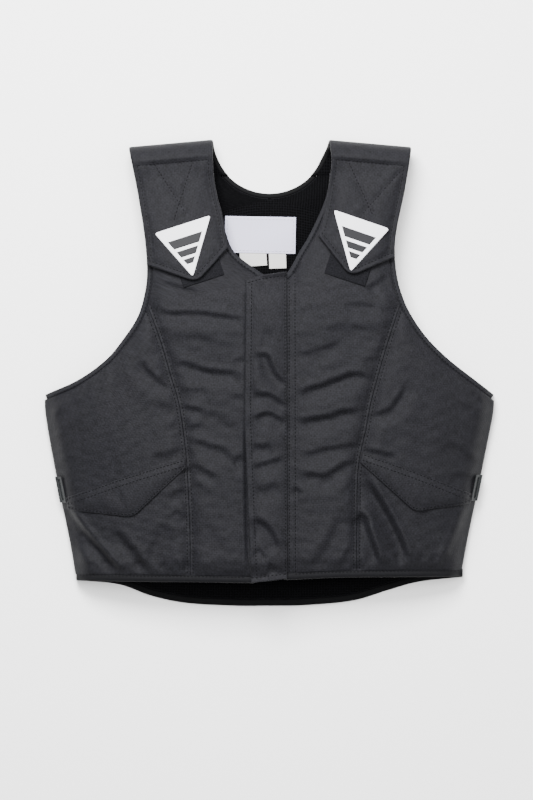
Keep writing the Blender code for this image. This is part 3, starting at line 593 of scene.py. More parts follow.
def creased(x, y, creases, depth=CREASE_DEPTH, width=CREASE_WIDTH):
    """How far creases sink a face: steep on one side, gentle with a soft swell on the other."""
    total = np.zeros_like(x)
    for crease in creases:
        path = smooth_line([(across(out), height(level)) for out, level in crease.path], 4)
        along = path[-1] - path[0]
        hand = 1.0 if along[0] * LIGHT_SIDE[1] - along[1] * LIGHT_SIDE[0] > 0 else -1.0
        best, off, place = near_path(x, y, path, hand)
        w = width * crease.width
        s = off / w
        steep = bell(s, 0, 1) - STEEP_SWELL * bell(s, 1.9, 0.9)
        gentle = bell(s, 0, 2.7) - GENTLE_SWELL * bell(s, -5.2, 2.4)
        full = length(path)
        run_out = FADE_SHARE * full
        fade = mix(FADE_LEAST, 1.0, ease(np.minimum(place, full - place) / run_out))
        section = depth * crease.depth * np.where(s > 0, steep, gentle) * fade
        section = section * (best < CREASE_REACH * w)
        total = total + section * bell(np.maximum(best - np.abs(off), 0), 0, w)
    return total


def runs_along(grid, axis):
    """How far each point of a grid is along its row or its column."""
    steps = np.linalg.norm(np.diff(grid, axis=axis), axis=2)
    return np.pad(np.cumsum(steps, axis=axis), [(1 - axis, 0), (axis, 0)])


def thickened(bm):
    """Closes a sheet of faces with a second layer, and gives its vertices, still in place."""
    made = bmesh.ops.extrude_face_region(bm, geom=list(bm.faces), use_keep_orig=True)
    return [item for item in made["geom"] if isinstance(item, bmesh.types.BMVert)]


def cloth_piece(name, finish, lower, upper, weave=None, weld=False):
    """A closed sheet between two grids of points, with its weave laid out in metres.

    Several pairs of grids may be given, and are welded where they meet.
    """
    if not isinstance(lower, list):
        lower, upper, weave = [lower], [upper], [weave]
    bm = bmesh.new()
    above = bm.verts.layers.float_vector.new("above")
    thread = bm.verts.layers.float_vector.new("thread")
    for low, high, lay in zip(lower, upper, weave):
        rows, columns = low.shape[:2]
        if lay is None:
            # Lengths along the cloth, so that the weave isn't stretched where it is steep
            lay = (high[:, :1, 0] + runs_along(high, 1), high[:1, :, 1] + runs_along(high, 0))
            lay = np.dstack(lay)
        made = bmesh.ops.create_grid(bm, x_segments=columns - 1, y_segments=rows - 1, size=0.5)
        for vert in made["verts"]:
            i, j = round((vert.co.x + 0.5) * (columns - 1)), round((vert.co.y + 0.5) * (rows - 1))
            vert.co = low[j, i]
            vert[above] = high[j, i]
            vert[thread] = (*lay[j, i], 0.0)
    if weld:
        bmesh.ops.remove_doubles(bm, verts=list(bm.verts), dist=2e-6)
    for vert in thickened(bm):
        vert.co = vert[above]
    bmesh.ops.recalc_face_normals(bm, faces=list(bm.faces))
    uv = bm.loops.layers.uv.new("weave")
    for face in bm.faces:
        for loop in face.loops:
            loop[uv].uv = loop.vert[thread].xy
    bm.verts.layers.float_vector.remove(above)
    thread = bm.verts.layers.float_vector["thread"]
    bm.verts.layers.float_vector.remove(thread)
    return finished(name, bm, finish)


def linked(name, data):
    """A new object in the scene."""
    made = bpy.data.objects.new(name, data)
    bpy.context.scene.collection.objects.link(made)
    return made


def mesh_of(name, bm, finish):
    mesh = bpy.data.meshes.new(name)
    bm.to_mesh(mesh)
    bm.free()
    mesh.materials.append(finish)
    return mesh


def finished(name, bm, finish):
    """A bmesh as a shown piece that rides on the frame."""
    mesh = mesh_of(name, bm, finish)
    mesh.shade_smooth()
    made = linked(name, mesh)
    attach(made, "root")
    return made


def surface(*pieces):
    """A function that finds the highest point and the normal of some pieces at a place in plan."""
    trees = [
        BVHTree.FromPolygons([v.co for v in p.data.vertices], [f.vertices for f in p.data.polygons])
        for p in pieces
    ]

    def find(x, y):
        hits = [t.ray_cast(Vector((x, y, 1.0)), Vector((0.0, 0.0, -1.0))) for t in trees]
        hits = [(h[0], h[1]) for h in hits if h[0] is not None]
        return max(hits, key=lambda h: h[0].z) if hits else None

    return find


def roundness(near, radius, least):
    """How far open a rounded edge is, from 0 to 1, at a distance from its rim."""
    share = np.clip(near / radius, 0, 1)
    return np.maximum(np.sqrt(np.clip(1 - (1 - share) ** 2, 0, 1)), least)


def rounded(points, low, high, rims, radius=0.0028):
    """Faces drawn together at the rims, so that the edge is rounded."""
    share = roundness(nearest(points, rims), radius, 0.12)
    middle = low + np.minimum(high - low, EDGE_PAD) / 2
    return mix(middle, low, share), mix(middle, high, share)


def grids(points, low, high):
    lower, upper = np.dstack([points, low]), np.dstack([points, high])
    return lower, upper


def mirrored(points, side):
    """Plan points of a side in the frame's own X."""
    return points * np.array([SIGN[side], 1.0])


# Materials


def add(tree, kind, links=None, **settings):
    """A node with its settings, and its inputs linked from other nodes' outputs or set to values."""
    node = tree.nodes.new(kind)
    for key, value in settings.items():
        setattr(node, key, value)
    for key, value in (links or {}).items():
        if isinstance(value, bpy.types.NodeSocket):
            tree.links.new(value, node.inputs[key])
        else:
            node.inputs[key].default_value = value
    return node


def new_material(name, **shader):
    made = bpy.data.materials.get(name) or bpy.data.materials.new(name)
    made.use_nodes = True
    tree = made.node_tree
    tree.nodes.clear()
    base = add(tree, "ShaderNodeBsdfPrincipled", {k.replace("_", " "): v for k, v in shader.items()})
    out = add(tree, "ShaderNodeOutputMaterial", {"Surface": base.outputs["BSDF"]})
    out.is_active_output = True
    return made, tree, base


def tone(tree, factor, low, high):
    """A colour between two, by a factor."""
    node = add(tree, "ShaderNodeMix", data_type="RGBA")
    tree.links.new(factor, node.inputs["Factor"])
    node.inputs[6].default_value = (*low, 1.0)
    node.inputs[7].default_value = (*high, 1.0)
    return node.outputs[2]


def scaled(colour, share):
    return tuple(c * share for c in colour)


def tones(tree, factor, colour, low, high):
    """A colour between two shares of itself, by a factor."""
    return tone(tree, factor, scaled(colour, low), scaled(colour, high))


def weave_place(tree):
    return add(tree, "ShaderNodeUVMap", uv_map="weave").outputs["UV"]


def ribs(tree, weave, spacing, axis="Y", **shape):
    """Waves a spacing apart along the weave; a wave's period is 2 pi / (20 * scale)."""
    inputs = {"Vector": weave, "Scale": math.pi / 10 / spacing}
    inputs.update({key.replace("_", " "): value for key, value in shape.items()})
    wave = add(tree, "ShaderNodeTexWave", inputs, wave_type="BANDS", bands_direction=axis)
    return wave.outputs["Fac"]


def noise(tree, scale, **shape):
    """Noise that stays in place on a piece."""
    place = add(tree, "ShaderNodeTexCoord").outputs["Object"]
    return add(tree, "ShaderNodeTexNoise", {"Vector": place, "Scale": scale, **shape}).outputs["Fac"]


def dress(tree, base, shade, height=None, strength=0.0, depth=0.0):
    """Gives a shader its colour, and the relief of a height."""
    tree.links.new(shade, base.inputs["Base Color"])
    if height is not None:
        bump = add(tree, "ShaderNodeBump", {"Height": height, "Strength": strength, "Distance": depth})
        tree.links.new(bump.outputs[0], base.inputs["Normal"])


def woven_nylon(name, colour, spacing, sheen=0.02):
    """Ballistic nylon: thick slubby filament threads in a plain weave, with a faint sheen.

    Its threads are 1 mm apart; they are drawn about twice as coarse, so that they show.
    """
    made, tree, base = new_material(
        name, Roughness=0.70, Specular_IOR_Level=0.105, Sheen_Weight=sheen, Sheen_Roughness=0.4
    )
    weave = weave_place(tree)
    # One wave for each pair of threads
    warp, weft = (
        ribs(tree, weave, 2 * spacing, axis, Distortion=1.6, Detail=1.0, Detail_Scale=0.8)
        for axis in ("X", "Y")
    )
    gap = add(tree, "ShaderNodeMath", {0: warp, 1: weft}, operation="SUBTRACT")
    over = add(tree, "ShaderNodeMath", {0: gap.outputs[0]}, operation="ABSOLUTE")
    slubs = []
    for stretch in ((900.0, 110.0, 1.0), (110.0, 900.0, 1.0)):
        run = add(tree, "ShaderNodeMapping", {"Vector": weave, "Scale": stretch}).outputs[0]
        slubs.append(add(tree, "ShaderNodeTexNoise", {"Vector": run, "Scale": 1.0}).outputs["Fac"])
    slub = add(tree, "ShaderNodeMath", {0: slubs[0], 1: slubs[1]}, operation="ADD")
    parts = {0: over.outputs[0], 1: 0.22, 2: slub.outputs[0]}
    grain = add(tree, "ShaderNodeMath", parts, operation="MULTIPLY_ADD")
    even = add(tree, "ShaderNodeMapRange", {"Value": grain.outputs[0], 1: 0.72, 2: 1.5}).outputs[0]
    shade = tones(tree, even, colour, 0.38, 1.85)
    worn = tone(tree, noise(tree, 14.0, Detail=3.0), (0.86, 0.87, 0.93), (1.13, 1.10, 1.08))
    both = add(tree, "ShaderNodeMix", data_type="RGBA", blend_type="MULTIPLY")
    both.inputs["Factor"].default_value = 1.0
    tree.links.new(shade, both.inputs[6])
    tree.links.new(worn, both.inputs[7])
    dress(tree, base, both.outputs[2], even, 0.5, 0.0004)
    return made


def ribbed_tape(name, colour, spacing=0.0011):
    """Grosgrain tape: a matt woven ribbon with fine ribs across it."""
    made, tree, base = new_material(name, Roughness=0.7, Specular_IOR_Level=0.08, Sheen_Weight=0.0)
    rib = ribs(tree, weave_place(tree), spacing, Distortion=0.4)
    fleck = noise(tree, 260.0, Detail=2.0)
    dress(tree, base, tones(tree, fleck, colour, 0.7, 1.3), rib, 0.4, 0.0003)
    return made


def spacer_mesh(name, colour, cell=0.0032):
    """Knitted spacer mesh: small round holes between soft black yarns."""
    made, tree, base = new_material(name, Roughness=0.9, Specular_IOR_Level=0.03)
    holes = add(
        tree,
        "ShaderNodeTexVoronoi",
        {"Vector": weave_place(tree), "Scale": 1 / cell, "Randomness": 0.15},
    ).outputs["Distance"]
    ring = add(tree, "ShaderNodeMapRange", {"Value": holes, 1: 0.15, 2: 0.5}).outputs[0]
    dress(tree, base, tones(tree, ring, colour, 0.25, 1.5), ring, 0.7, 0.0008)
    return made


def loop_pile(name, colour):
    """Loop tape: a dense fuzz of tiny loops that hardly reflects."""
    made, tree, base = new_material(name, Roughness=1.0, Specular_IOR_Level=0.0)
    fuzz = noise(tree, 700.0, Detail=3.0)
    dress(tree, base, tones(tree, fuzz, colour, 0.3, 2.2), fuzz, 0.9, 0.001)
    return made


def soft_moulding(name, colour, roughness, gloss=0.1, grain=900.0):
    """Moulded plastic or rubber: smooth with a fine spark-eroded grain."""
    made, tree, base = new_material(name, Roughness=roughness, Specular_IOR_Level=gloss)
    cloud, grit = noise(tree, 60.0, Detail=2.0), noise(tree, grain, Detail=1.0)
    dress(tree, base, tones(tree, cloud, colour, 0.93, 1.04), grit, 0.2, 0.0002)
    return made


def label_satin(name, colour, spacing=0.0009):
    """Woven label: fine polyester threads with a soft satin look."""
    made, tree, base = new_material(name, Roughness=0.55, Specular_IOR_Level=0.4, Sheen_Weight=0.2)
    rib = ribs(tree, weave_place(tree), spacing, Distortion=0.3)
    dress(tree, base, tones(tree, rib, colour, 0.9, 1.0), rib, 0.25, 0.0002)
    return made


def sewing_thread(name, colour):
    """Bonded nylon thread: smooth, dark and slightly waxy."""
    made, tree, base = new_material(name, Roughness=0.6, Specular_IOR_Level=0.04)
    dress(tree, base, tones(tree, noise(tree, 900.0), colour, 0.7, 1.4))
    return made


def finishes():
    """The vest's materials, by what they are used for."""
    sizes, colours = bpy.context.scene.vest_sizes, bpy.context.scene.vest_colours
    hue = {key: tuple(getattr(colours, key)) for key in colours.__annotations__}
    return {
        "nylon": woven_nylon("ballistic_nylon", hue["nylon"], sizes.thread_spacing),
        "tape": ribbed_tape("binding_tape", hue["tape"]),
        "edging": ribbed_tape("lining_edge_tape", scaled(hue["tape"], 0.18)),
        "hem": ribbed_tape("hem_band_tape", scaled(hue["tape"], 0.5)),
        "mesh": spacer_mesh("mesh_lining", hue["mesh"]),
        "pile": loop_pile("loop_tape", hue["pile"]),
        "rubber": soft_moulding("badge_rubber", hue["rubber"], 0.4),
        "bars": soft_moulding("badge_bars", hue["bars"], 0.5),
        "label": label_satin("woven_label", hue["label"]),
        "tag": label_satin("printed_tag", hue["tag"], 0.0007),
        "webbing": ribbed_tape("webbing", scaled(hue["plastic"], 1.3), 0.0016),
        "plastic": soft_moulding("moulded_plastic", hue["plastic"], 0.42),
        "thread": sewing_thread("bonded_thread", hue["thread"]),
    }


FINISH = {}
MADE = {}


def keep(piece, slot, *nodes):
    """Notes a piece, and hides the frame nodes that it stands for. Its slot is not used."""
    MADE[piece.name] = piece
    if nodes:
        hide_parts(*nodes)
    return piece


# The panels

# How far the rows of stitches are from the princess seams, and from a tape's outer edge
SEAM_ROW = 0.0036
TAPE_ROW = 0.0046
ARMHOLE_LOW = height(0.4535)
PANEL_GAP = 0.0002
# From a panel's corner to the next point of its edge
CORNER_STEP = 0.001
LEAST_PAD = 0.0025
# The height of a pad's broad unevenness
SWELL = 0.0010
ON_CENTRE = ("seam_inner", "placket_near", "placket_far")


def seam_top(side, seam):
    """The height at which a princess seam reaches the armhole."""
    return meeting(seam, PANEL_ARMHOLES[side], height(0.5), height(0.69))


def stitch_lines(side):
    """The lines of stitching on one front, by what they hold, in its own plan."""
    top = seam_top(side, SEAMS[side]) - 0.004
    seam = rising(SEAMS[side], y_at(PANEL_HEMS[side], across(0.37)) + 0.002, top)
    armhole = rising(ARMHOLES[side], ARMHOLE_LOW, SHOULDER_END)
    neck = rising(NECKLINES[side], height(0.718), SHOULDER_END)
    lines = {
        "seam_inner": beside(seam, SEAM_ROW),
        "seam_outer": beside(seam, -SEAM_ROW),
        "armhole": beside(armhole, TAPE_ROW),
        "neck": beside(neck, -TAPE_ROW),
        "hem": beside(spreading(FRONT_HEMS[side], across(0.11), across(0.85)), 0.0068),
    }
    if side == "left":
        low_out, top_out = (across(edge.left) for edge in PLACKET_EDGE)
        for name, inside in (("placket_near", 0.0028), ("placket_far", 0.0098)):
            ends = [(low_out + inside, height(0.075)), (top_out + inside, height(0.716 + inside))]
            lines[name] = points_at(np.array(ends), np.linspace(0, 1, 20))
    return lines


def dimples(points, lines, depth=0.0010, width=0.0013, pinch=0.0010, spread=0.0050):
    """How far stitching pulls a padded face down."""
    total = np.zeros(points.shape[:-1])
    for line in lines:
        near = distance(points, line)
        total = np.maximum(total, depth * bell(near, 0, width) + pinch * bell(near, 0, spread))
    return total


def puckers(points, line, seed, size=0.0075, depth=0.00045, reach=0.011):
    """Little gathers that run out from a line of stitching."""
    near = distance(points, line)
    x, y = points[..., 0], points[..., 1]
    wobble = flow(x, y, 0.03, seed) * 1.6
    wave = np.sin(2 * math.pi * y / size + wobble * 2) * (0.6 + 0.4 * flow(x, y, 0.05, seed + 1))
    return depth * wave * bell(near, 0, reach)


def held_smooth(x, y, side):
    """1 where the fly or a pocket flap lies over the cloth, falling to 0 beside it."""
    edge = placket_edges()[0 if side == "right" else 1]
    under_fly = ease((np.abs(np.interp(y, edge[:, 1], edge[:, 0])) - 0.003 - np.abs(x)) / 0.004)
    _, _, low, high = pocket_edges(side)
    inside = np.minimum(y_at(high, np.abs(x)) - y, y - y_at(low, np.abs(x)))
    under_flap = ease((inside + 0.0005) / 0.005) * (np.abs(x) > low[0, 0])
    return np.maximum(under_fly, under_flap)


def front_faces(points, side, rims, lines, seed):
    """The lower and the upper heights of a front panel, folds and stitching included."""
    x, y = points[..., 0] * SIGN[side], points[..., 1]
    low = front_inner(x, y)
    calm = ease((y - y_at(PANEL_HEMS[side], points[..., 0])) / 0.012)
    here = [c for c in FRONT_CREASES if (c.path[0][0] > 0) == (side == "left")]
    free = mix(0.2, 1.0, calm) * (1 - held_smooth(x, y, side))
    crumple = bpy.context.scene.vest_sizes.crumple
    top = low + front_pad(x, y) - creased(x, y, here) * free
    top = top + SWELL * flow(x, y, 0.085, seed) * calm
    top = top + crumple * flow(x, y, 0.022, seed + 5, 1.8) * calm
    top = np.maximum(top - dimples(points, lines) + puckers(points, SEAMS[side], seed), low + LEAST_PAD)
    return rounded(points, low, top, rims, 0.0018)


def front_panel(side, part, points, rims, marks, seed):
    """One padded piece of a front, over its points in plan."""
    low, high = front_faces(points, side, rims, marks, seed)
    plan = mirrored(points, side)
    piece = cloth_piece(f"{side}_front_{part}_pad", FINISH["nylon"], *grids(plan, low, high))
    return keep(piece, "ballistic_nylon", f"{side}_front_{part}_panel")


def seam_low(side, seam):
    """How far out a princess seam starts, at the hem."""
    return out_at(seam, y_at(PANEL_HEMS[side], across(PRINCESS_SEAM[0].right)))


def make_centre_panel(side):
    """The padded front between the centre line and the princess seam."""
    cell = bpy.context.scene.vest_sizes.cell
    neckline, armhole = PANEL_NECKLINES[side], PANEL_ARMHOLES[side]
    seam = moved(SEAMS[side], out=-PANEL_GAP)
    top = seam_top(side, seam)
    neck_y = max(y_at(neckline, PANEL_GAP), neckline[0, 1])
    hem = spreading(PANEL_HEMS[side], PANEL_GAP, seam_low(side, seam))
    neck = rising(neckline, neck_y, SHOULDER_END)
    arm = rising(armhole, top + CORNER_STEP, SHOULDER_END)
    inner = np.vstack([hem[0], (PANEL_GAP, neck[0, 1]), neck[1:]])
    outer = np.vstack([hem[-1], rising(seam, hem[-1, 1] + CORNER_STEP, top), arm])
    edges = (inner, outer, hem, np.array([inner[-1], outer[-1]]))
    points = patch(edges, stops(0.105, cell), stops(length(outer), cell))
    lines = stitch_lines(side)
    marks = [lines[k] for k in ON_CENTRE if k in lines]
    front_panel(side, "centre", points, [arm, neck], marks, 11 if side == "right" else 17)


def make_side_panel(side):
    """The padded front between the princess seam and the side edge."""
    cell = bpy.context.scene.vest_sizes.cell
    seam, armhole = moved(SEAMS[side], out=PANEL_GAP), PANEL_ARMHOLES[side]
    top = seam_top(side, seam)
    far = out_at(SIDES[side], y_at(PANEL_HEMS[side], across(FRONT_HEM[0].out)))
    hem = spreading(PANEL_HEMS[side], seam_low(side, seam), far)
    pit = y_at(armhole[::-1], HALF_CHEST)
    inner = np.vstack([hem[0], rising(seam, hem[0, 1] + CORNER_STEP, top)])
    outer = np.vstack([hem[-1], rising(SIDES[side], hem[-1, 1] + CORNER_STEP, pit)])
    arm = rising(armhole, pit, top)[::-1]
    arm[0], arm[-1] = inner[-1], outer[-1]
    points = patch((inner, outer, hem, arm), stops(0.14, cell), stops(0.30, cell))
    marks = [stitch_lines(side)["seam_outer"]]
    front_panel(side, "side", points, (outer, arm), marks, 23 if side == "right" else 29)


def back_edges(side, inset=0.0):
    """The lines round half the back: inner, outer, hem and shoulder."""
    hem = moved(PANEL_BACK_HEMS[side], y=inset)
    armhole = shifted(PANEL_ARMHOLES[side], inset)
    sides = moved(SIDES[side], out=-inset)
    neck = shifted(PANEL_BACK_NECK, -inset)
    end = SHOULDER_END - inset
    far = out_at(sides, y_at(hem, across(BACK_HEM[0].out)))
    hem = spreading(hem, 0.0, far)
    hem[0, 1] = y_at(PANEL_BACK_HEMS["right"], 0.0) + inset
    pit = y_at(armhole[::-1], HALF_CHEST - inset)
    neck = rising(neck, y_at(neck, 0.0) + 1e-5, end)
    inner = np.vstack([(0.0, hem[0, 1]), (0.0, neck[0, 1]), neck[1:]])
    beside_body = rising(sides, hem[-1, 1] + CORNER_STEP, pit)
    outer = np.vstack([hem[-1], beside_body, rising(armhole, pit + CORNER_STEP, end)])
    return inner, outer, hem, np.array([inner[-1], outer[-1]])


def back_grid(side, cell, inset=0.0):
    """Half the back as a grid, whose rows are shared by both halves, and its rims."""
    edges = back_edges(side, inset)
    inner = back_edges("right", inset)[0]
    total = length(inner)
    neck = length(inner[:2]) / total
    below = stops(length(inner[:2]), cell, (True, False))
    above = stops(total * (1 - neck), cell, (False, True))
    rows = np.concatenate([below * neck, (neck + above * (1 - neck))[1:]])
    points = patch(edges, stops(0.26, cell, (False, True)), rows)
    points[: len(below), 0, 0] = 0.0
    return points, [edges[0][1:], *edges[1:]]


def back_depth(points, rims, inset=0.0):
    near = nearest(points, rims) + inset
    return mix(EDGE_PAD, BACK_PAD, puff(near / TAPER))


def make_halves(name, finish, faces, inset=0.0):
    """A piece over the whole back, from the faces of its halves, and its area."""
    cell = bpy.context.scene.vest_sizes.cell * 2
    lower, upper = [], []
    for side in SIGN:
        points, rims = back_grid(side, cell, inset)
        low, high = grids(mirrored(points, side), *faces(side, points, rims))
        lower.append(low)
        upper.append(high)
    return cloth_piece(name, finish, lower, upper, [None, None], weld=True), sum(map(grid_area, lower))


def make_back():
    """The padded back: level where it lies, and rounded up to its edges."""

    def faces(side, points, rims):
        return rounded(points, np.zeros(points.shape[:2]), back_depth(points, rims), rims)

    piece, _ = make_halves("back_pad", FINISH["nylon"], faces)
    keep(piece, "ballistic_nylon", "back_panel")


def make_lining():
    """The knitted mesh on the inside of the back."""
    inset = 0.0012

    def faces(side, points, rims):
        x, y = points[..., 0] * SIGN[side], points[..., 1]
        low = back_depth(points, rims, inset) + 0.0002 + 0.0002 * (1 + flow(x, y, 0.06, 41))
        return low, low + 0.0009

    piece, area = make_halves("back_lining_mesh", FINISH["mesh"], faces, inset)
    keep(piece, "mesh_lining", "back_lining")


def flat_size(grid):
    """A sheet's size laid flat: its longest row and column, and 2 % so that its area fits."""
    return [round(1.02 * max(length(row) for row in rows), 4) for rows in (grid, grid.swapaxes(0, 1))]


def grid_area(grid):
    """The area of a grid of points."""
    a, b, c, d = grid[:-1, :-1], grid[:-1, 1:], grid[1:, 1:], grid[1:, :-1]
    return float(np.linalg.norm(np.cross(c - a, d - b), axis=-1).sum() / 2)


# Tapes


# A rounded tape's columns across its width
TAPE_COLUMNS = np.array([0.0, 0.06, 0.18, 0.38, 0.62, 0.82, 0.94, 1.0])


def lay_of(across_it, run):
    """Where the weave lies on a grid, from distances across it and along its rows."""
    return np.dstack(np.broadcast_arrays(across_it, run[:, None]))


def tape_grids(line, width, faces, side, cell=0.003):
    """A rounded tape on the left of a line, or on its right if the width is negative."""
    count = max(int(length(line) / cell), 8)
    line = points_at(line, np.linspace(0, 1, count + 1))
    edges = [beside(line, d) for d in (0.0, width)]
    for edge in edges:
        edge[line[:, 0] < 1e-9, 0] = 0.0
        edge[:, 0] = np.minimum(edge[:, 0], HALF_CHEST)
    shares = TAPE_COLUMNS
    points = mix(edges[0][:, None, :], edges[1][:, None, :], shares[None, :, None])
    x, y = points[..., 0] * SIGN[side], points[..., 1]
    low, high = faces(x, y)
    bulge = np.sqrt(np.clip(1 - (2 * shares - 1) ** 2, 0, 1)) ** 0.7
    bulge = np.maximum(bulge, 0.1)[None, :]
    middle = (low + high) / 2
    lower, upper = grids(mirrored(points, side), mix(middle, low, bulge), mix(middle, high, bulge))
    return lower, upper, lay_of(shares * abs(width), steps_of(line))


def bound_faces(x, y):
    low = front_inner(x, y) - 0.0002
    return low, low + EDGE_PAD + 0.0009


def back_bound_faces(x, y):
    return np.zeros_like(x), np.full_like(x, EDGE_PAD + 0.0002)


def make_tapes(side):
    """The tape round one side's armhole and neckline, and the band along its front hem."""
    armhole = rising(ARMHOLES[side], ARMHOLE_LOW, SHOULDER_END)
    neck = rising(NECKLINES[side], height(0.702), SHOULDER_END)
    placket = across(getattr(PLACKET_EDGE[0], side))
    hem = spreading(FRONT_HEMS[side], placket - 0.004, FRONT_HEMS[side][-1, 0])
    for name, node, line, width, faces, use in (
        ("armhole_tape", "armhole_binding", armhole, BINDING_WIDTH, bound_faces, "tape"),
        ("neck_tape", "neck_binding", neck, -BINDING_WIDTH, bound_faces, "tape"),
        ("front_hem_tape", "hem_band", hem, HEM_BAND_WIDTH, bound_faces, "hem"),
        ("back_armhole_tape", "back_armhole_binding", armhole, BINDING_WIDTH, back_bound_faces, "tape"),
    ):
        piece = cloth_piece(f"{side}_{name}", FINISH[use], *tape_grids(line, width, faces, side))
        keep(piece, "binding_tape", f"{side}_{node}")


def make_back_tapes():
    """The tape round the back of the neck, and the band along the back hem."""
    neck = spreading(BACK_NECK, 0.0, out_at(BACK_NECK, SHOULDER_END + 0.0008))
    for name, node, lines, width in (
        ("back_neck_tape", "back_neck_binding", {s: neck for s in SIGN}, -BINDING_WIDTH),
        ("back_hem_tape", "back_hem_band", BACK_HEMS, HEM_BAND_WIDTH),
    ):
        halves = [tape_grids(lines[s], width, back_bound_faces, s) for s in SIGN]
        piece = cloth_piece(name, FINISH["edging"], *(list(item) for item in zip(*halves)), weld=True)
        keep(piece, "binding_tape", node)


# Straps


# A strap's width and the length of its front part, from which its cells are counted
STRAP_SPAN = 0.098
STRAP_RUN = 0.135
STRAP_INSIDE_SPAN = 0.096
STRAP_CREASE_DEPTH = 0.0022
LEAST_STRAP = 0.0022
STRAP_ROW = 0.0058
# The ends of the crossed rows of stitches on each strap
STRAP_CROSSES = {
    "right": (((0.520, 0.953), (0.367, 0.837)), ((0.344, 0.946), (0.424, 0.824))),
    "left": (((0.344, 0.957), (0.456, 0.837)), ((0.580, 0.931), (0.411, 0.839))),
}


def fold_centre(out):
    """The Y of the middle of the shoulder fold, which lies further up towards the neck."""
    near, far = across(STRAP_INNER[-1].right), across(ARMHOLE[-1].right)
    share = (out - near) / (far - near)
    return mix(height(1.0), height(FOLD_OUTER_LEVEL), share) - FOLD_RADIUS


def strap_seat(x, y):
    return front_inner(x, y) + mix(front_pad(x, y), FRONT_PAD, 0.5) + STRAP_SEAT


def strap_leg_edges(side):
    """The lines round the part of a strap that lies on the front, from the fold to its tip."""
    inner, outer, flap = STRAP_INNERS[side], ARMHOLES[side], FLAPS[side]
    inner_top, outer_top = fold_centre(across(0.25)), fold_centre(across(0.61))
    first = rising(inner, height(flap.inner_level), inner_top)[::-1]
    last = rising(outer, height(flap.outer_level), outer_top)[::-1]
    tip = np.array([across(flap.tip_out), height(flap.tip_level)])
    point = np.array([first[-1], mix(first[-1], tip, 0.93), mix(last[-1], tip, 0.94), last[-1]])
    point = np.vstack([point[0], smooth_corner(point[0], tip, point[3]), point[3]])
    return first, last, np.array([first[0], last[0]]), point


def smooth_corner(a, tip, b, cut=0.012):
    """A corner between two straight runs, a little rounded."""
    start = tip + (a - tip) / np.linalg.norm(a - tip) * cut
    end = tip + (b - tip) / np.linalg.norm(b - tip) * cut
    t = np.linspace(0, 1, 7)[:, None]
    return (1 - t) ** 2 * start + 2 * t * (1 - t) * tip + t**2 * end


def strap_stitches(side):
    """The stitching on a strap: round its edge, across it below the fold, and its cross."""
    first, last, _, point = strap_leg_edges(side)
    inner, outer, low = beside(first, STRAP_ROW), beside(last, -STRAP_ROW), beside(point, STRAP_ROW)
    start = np.argmin(np.hypot(*(inner - low[0]).T))
    stop = np.argmin(np.hypot(*(outer - low[-1]).T))
    y = height(0.955)
    yoke = [
        (out_at(STRAP_INNERS[side], y) + 0.006, y),
        (out_at(ARMHOLES[side], y - 0.006) - 0.006, y - 0.007),
    ]
    rows = [np.array(yoke)]
    for ends in STRAP_CROSSES[side]:
        rows.append(np.array([(across(out), height(level)) for out, level in ends]))
    edge = np.vstack([inner[:start], low, outer[:stop][::-1]])
    return [edge] + [points_at(row, np.linspace(0, 1, 12)) for row in rows]


def rear_rows(side, us, angles, radius, columns=None):
    """Rows of a strap's rear, from the back's shoulder to the top of the fold.

    Its inner edge is the neckline's, and reaches the strap's own inner edge at the fold. A row is
    at an angle round the fold, or below -90 degrees along the level run behind it. The columns
    may be set out in metres from the inner edge instead of in shares.
    """
    rows = []
    start = mix(out_at(BACK_NECK, height(0.95)), out_at(ARMHOLES[side], height(0.95)), us)
    for angle in angles:
        fold_y = fold_centre(start)
        for _ in range(3):
            if angle < -90:
                y = mix(fold_y, SHOULDER_END + 0.0002, (-90 - angle) / 30)
            else:
                y = fold_y + radius * math.cos(math.radians(angle))
            inner = mix(out_at(BACK_NECK, y), out_at(STRAP_INNERS[side], y), ease((angle + 90) / 90))
            out = mix(inner, out_at(ARMHOLES[side], y), us) if columns is None else inner + columns
            fold_y = fold_centre(out)
        z = FOLD_RADIUS + radius * math.sin(math.radians(max(angle, -90)))
        rows.append(np.column_stack([out, y, z + np.zeros_like(out)]))
    return np.array(rows)


def round_rims(us, span, lower, upper, radius=0.0024):
    """Draws the faces of rows together at their two ends, so that the edges are rounded."""
    share = roundness(np.minimum(us, 1 - us) * span, radius, 0.12)[None, :, None]
    middle = (lower + upper) / 2
    return mix(middle, lower, share), mix(middle, upper, share)


def run_of(grid):
    """How far each row of a grid is along it."""
    return steps_of(grid[:, grid.shape[1] // 2])


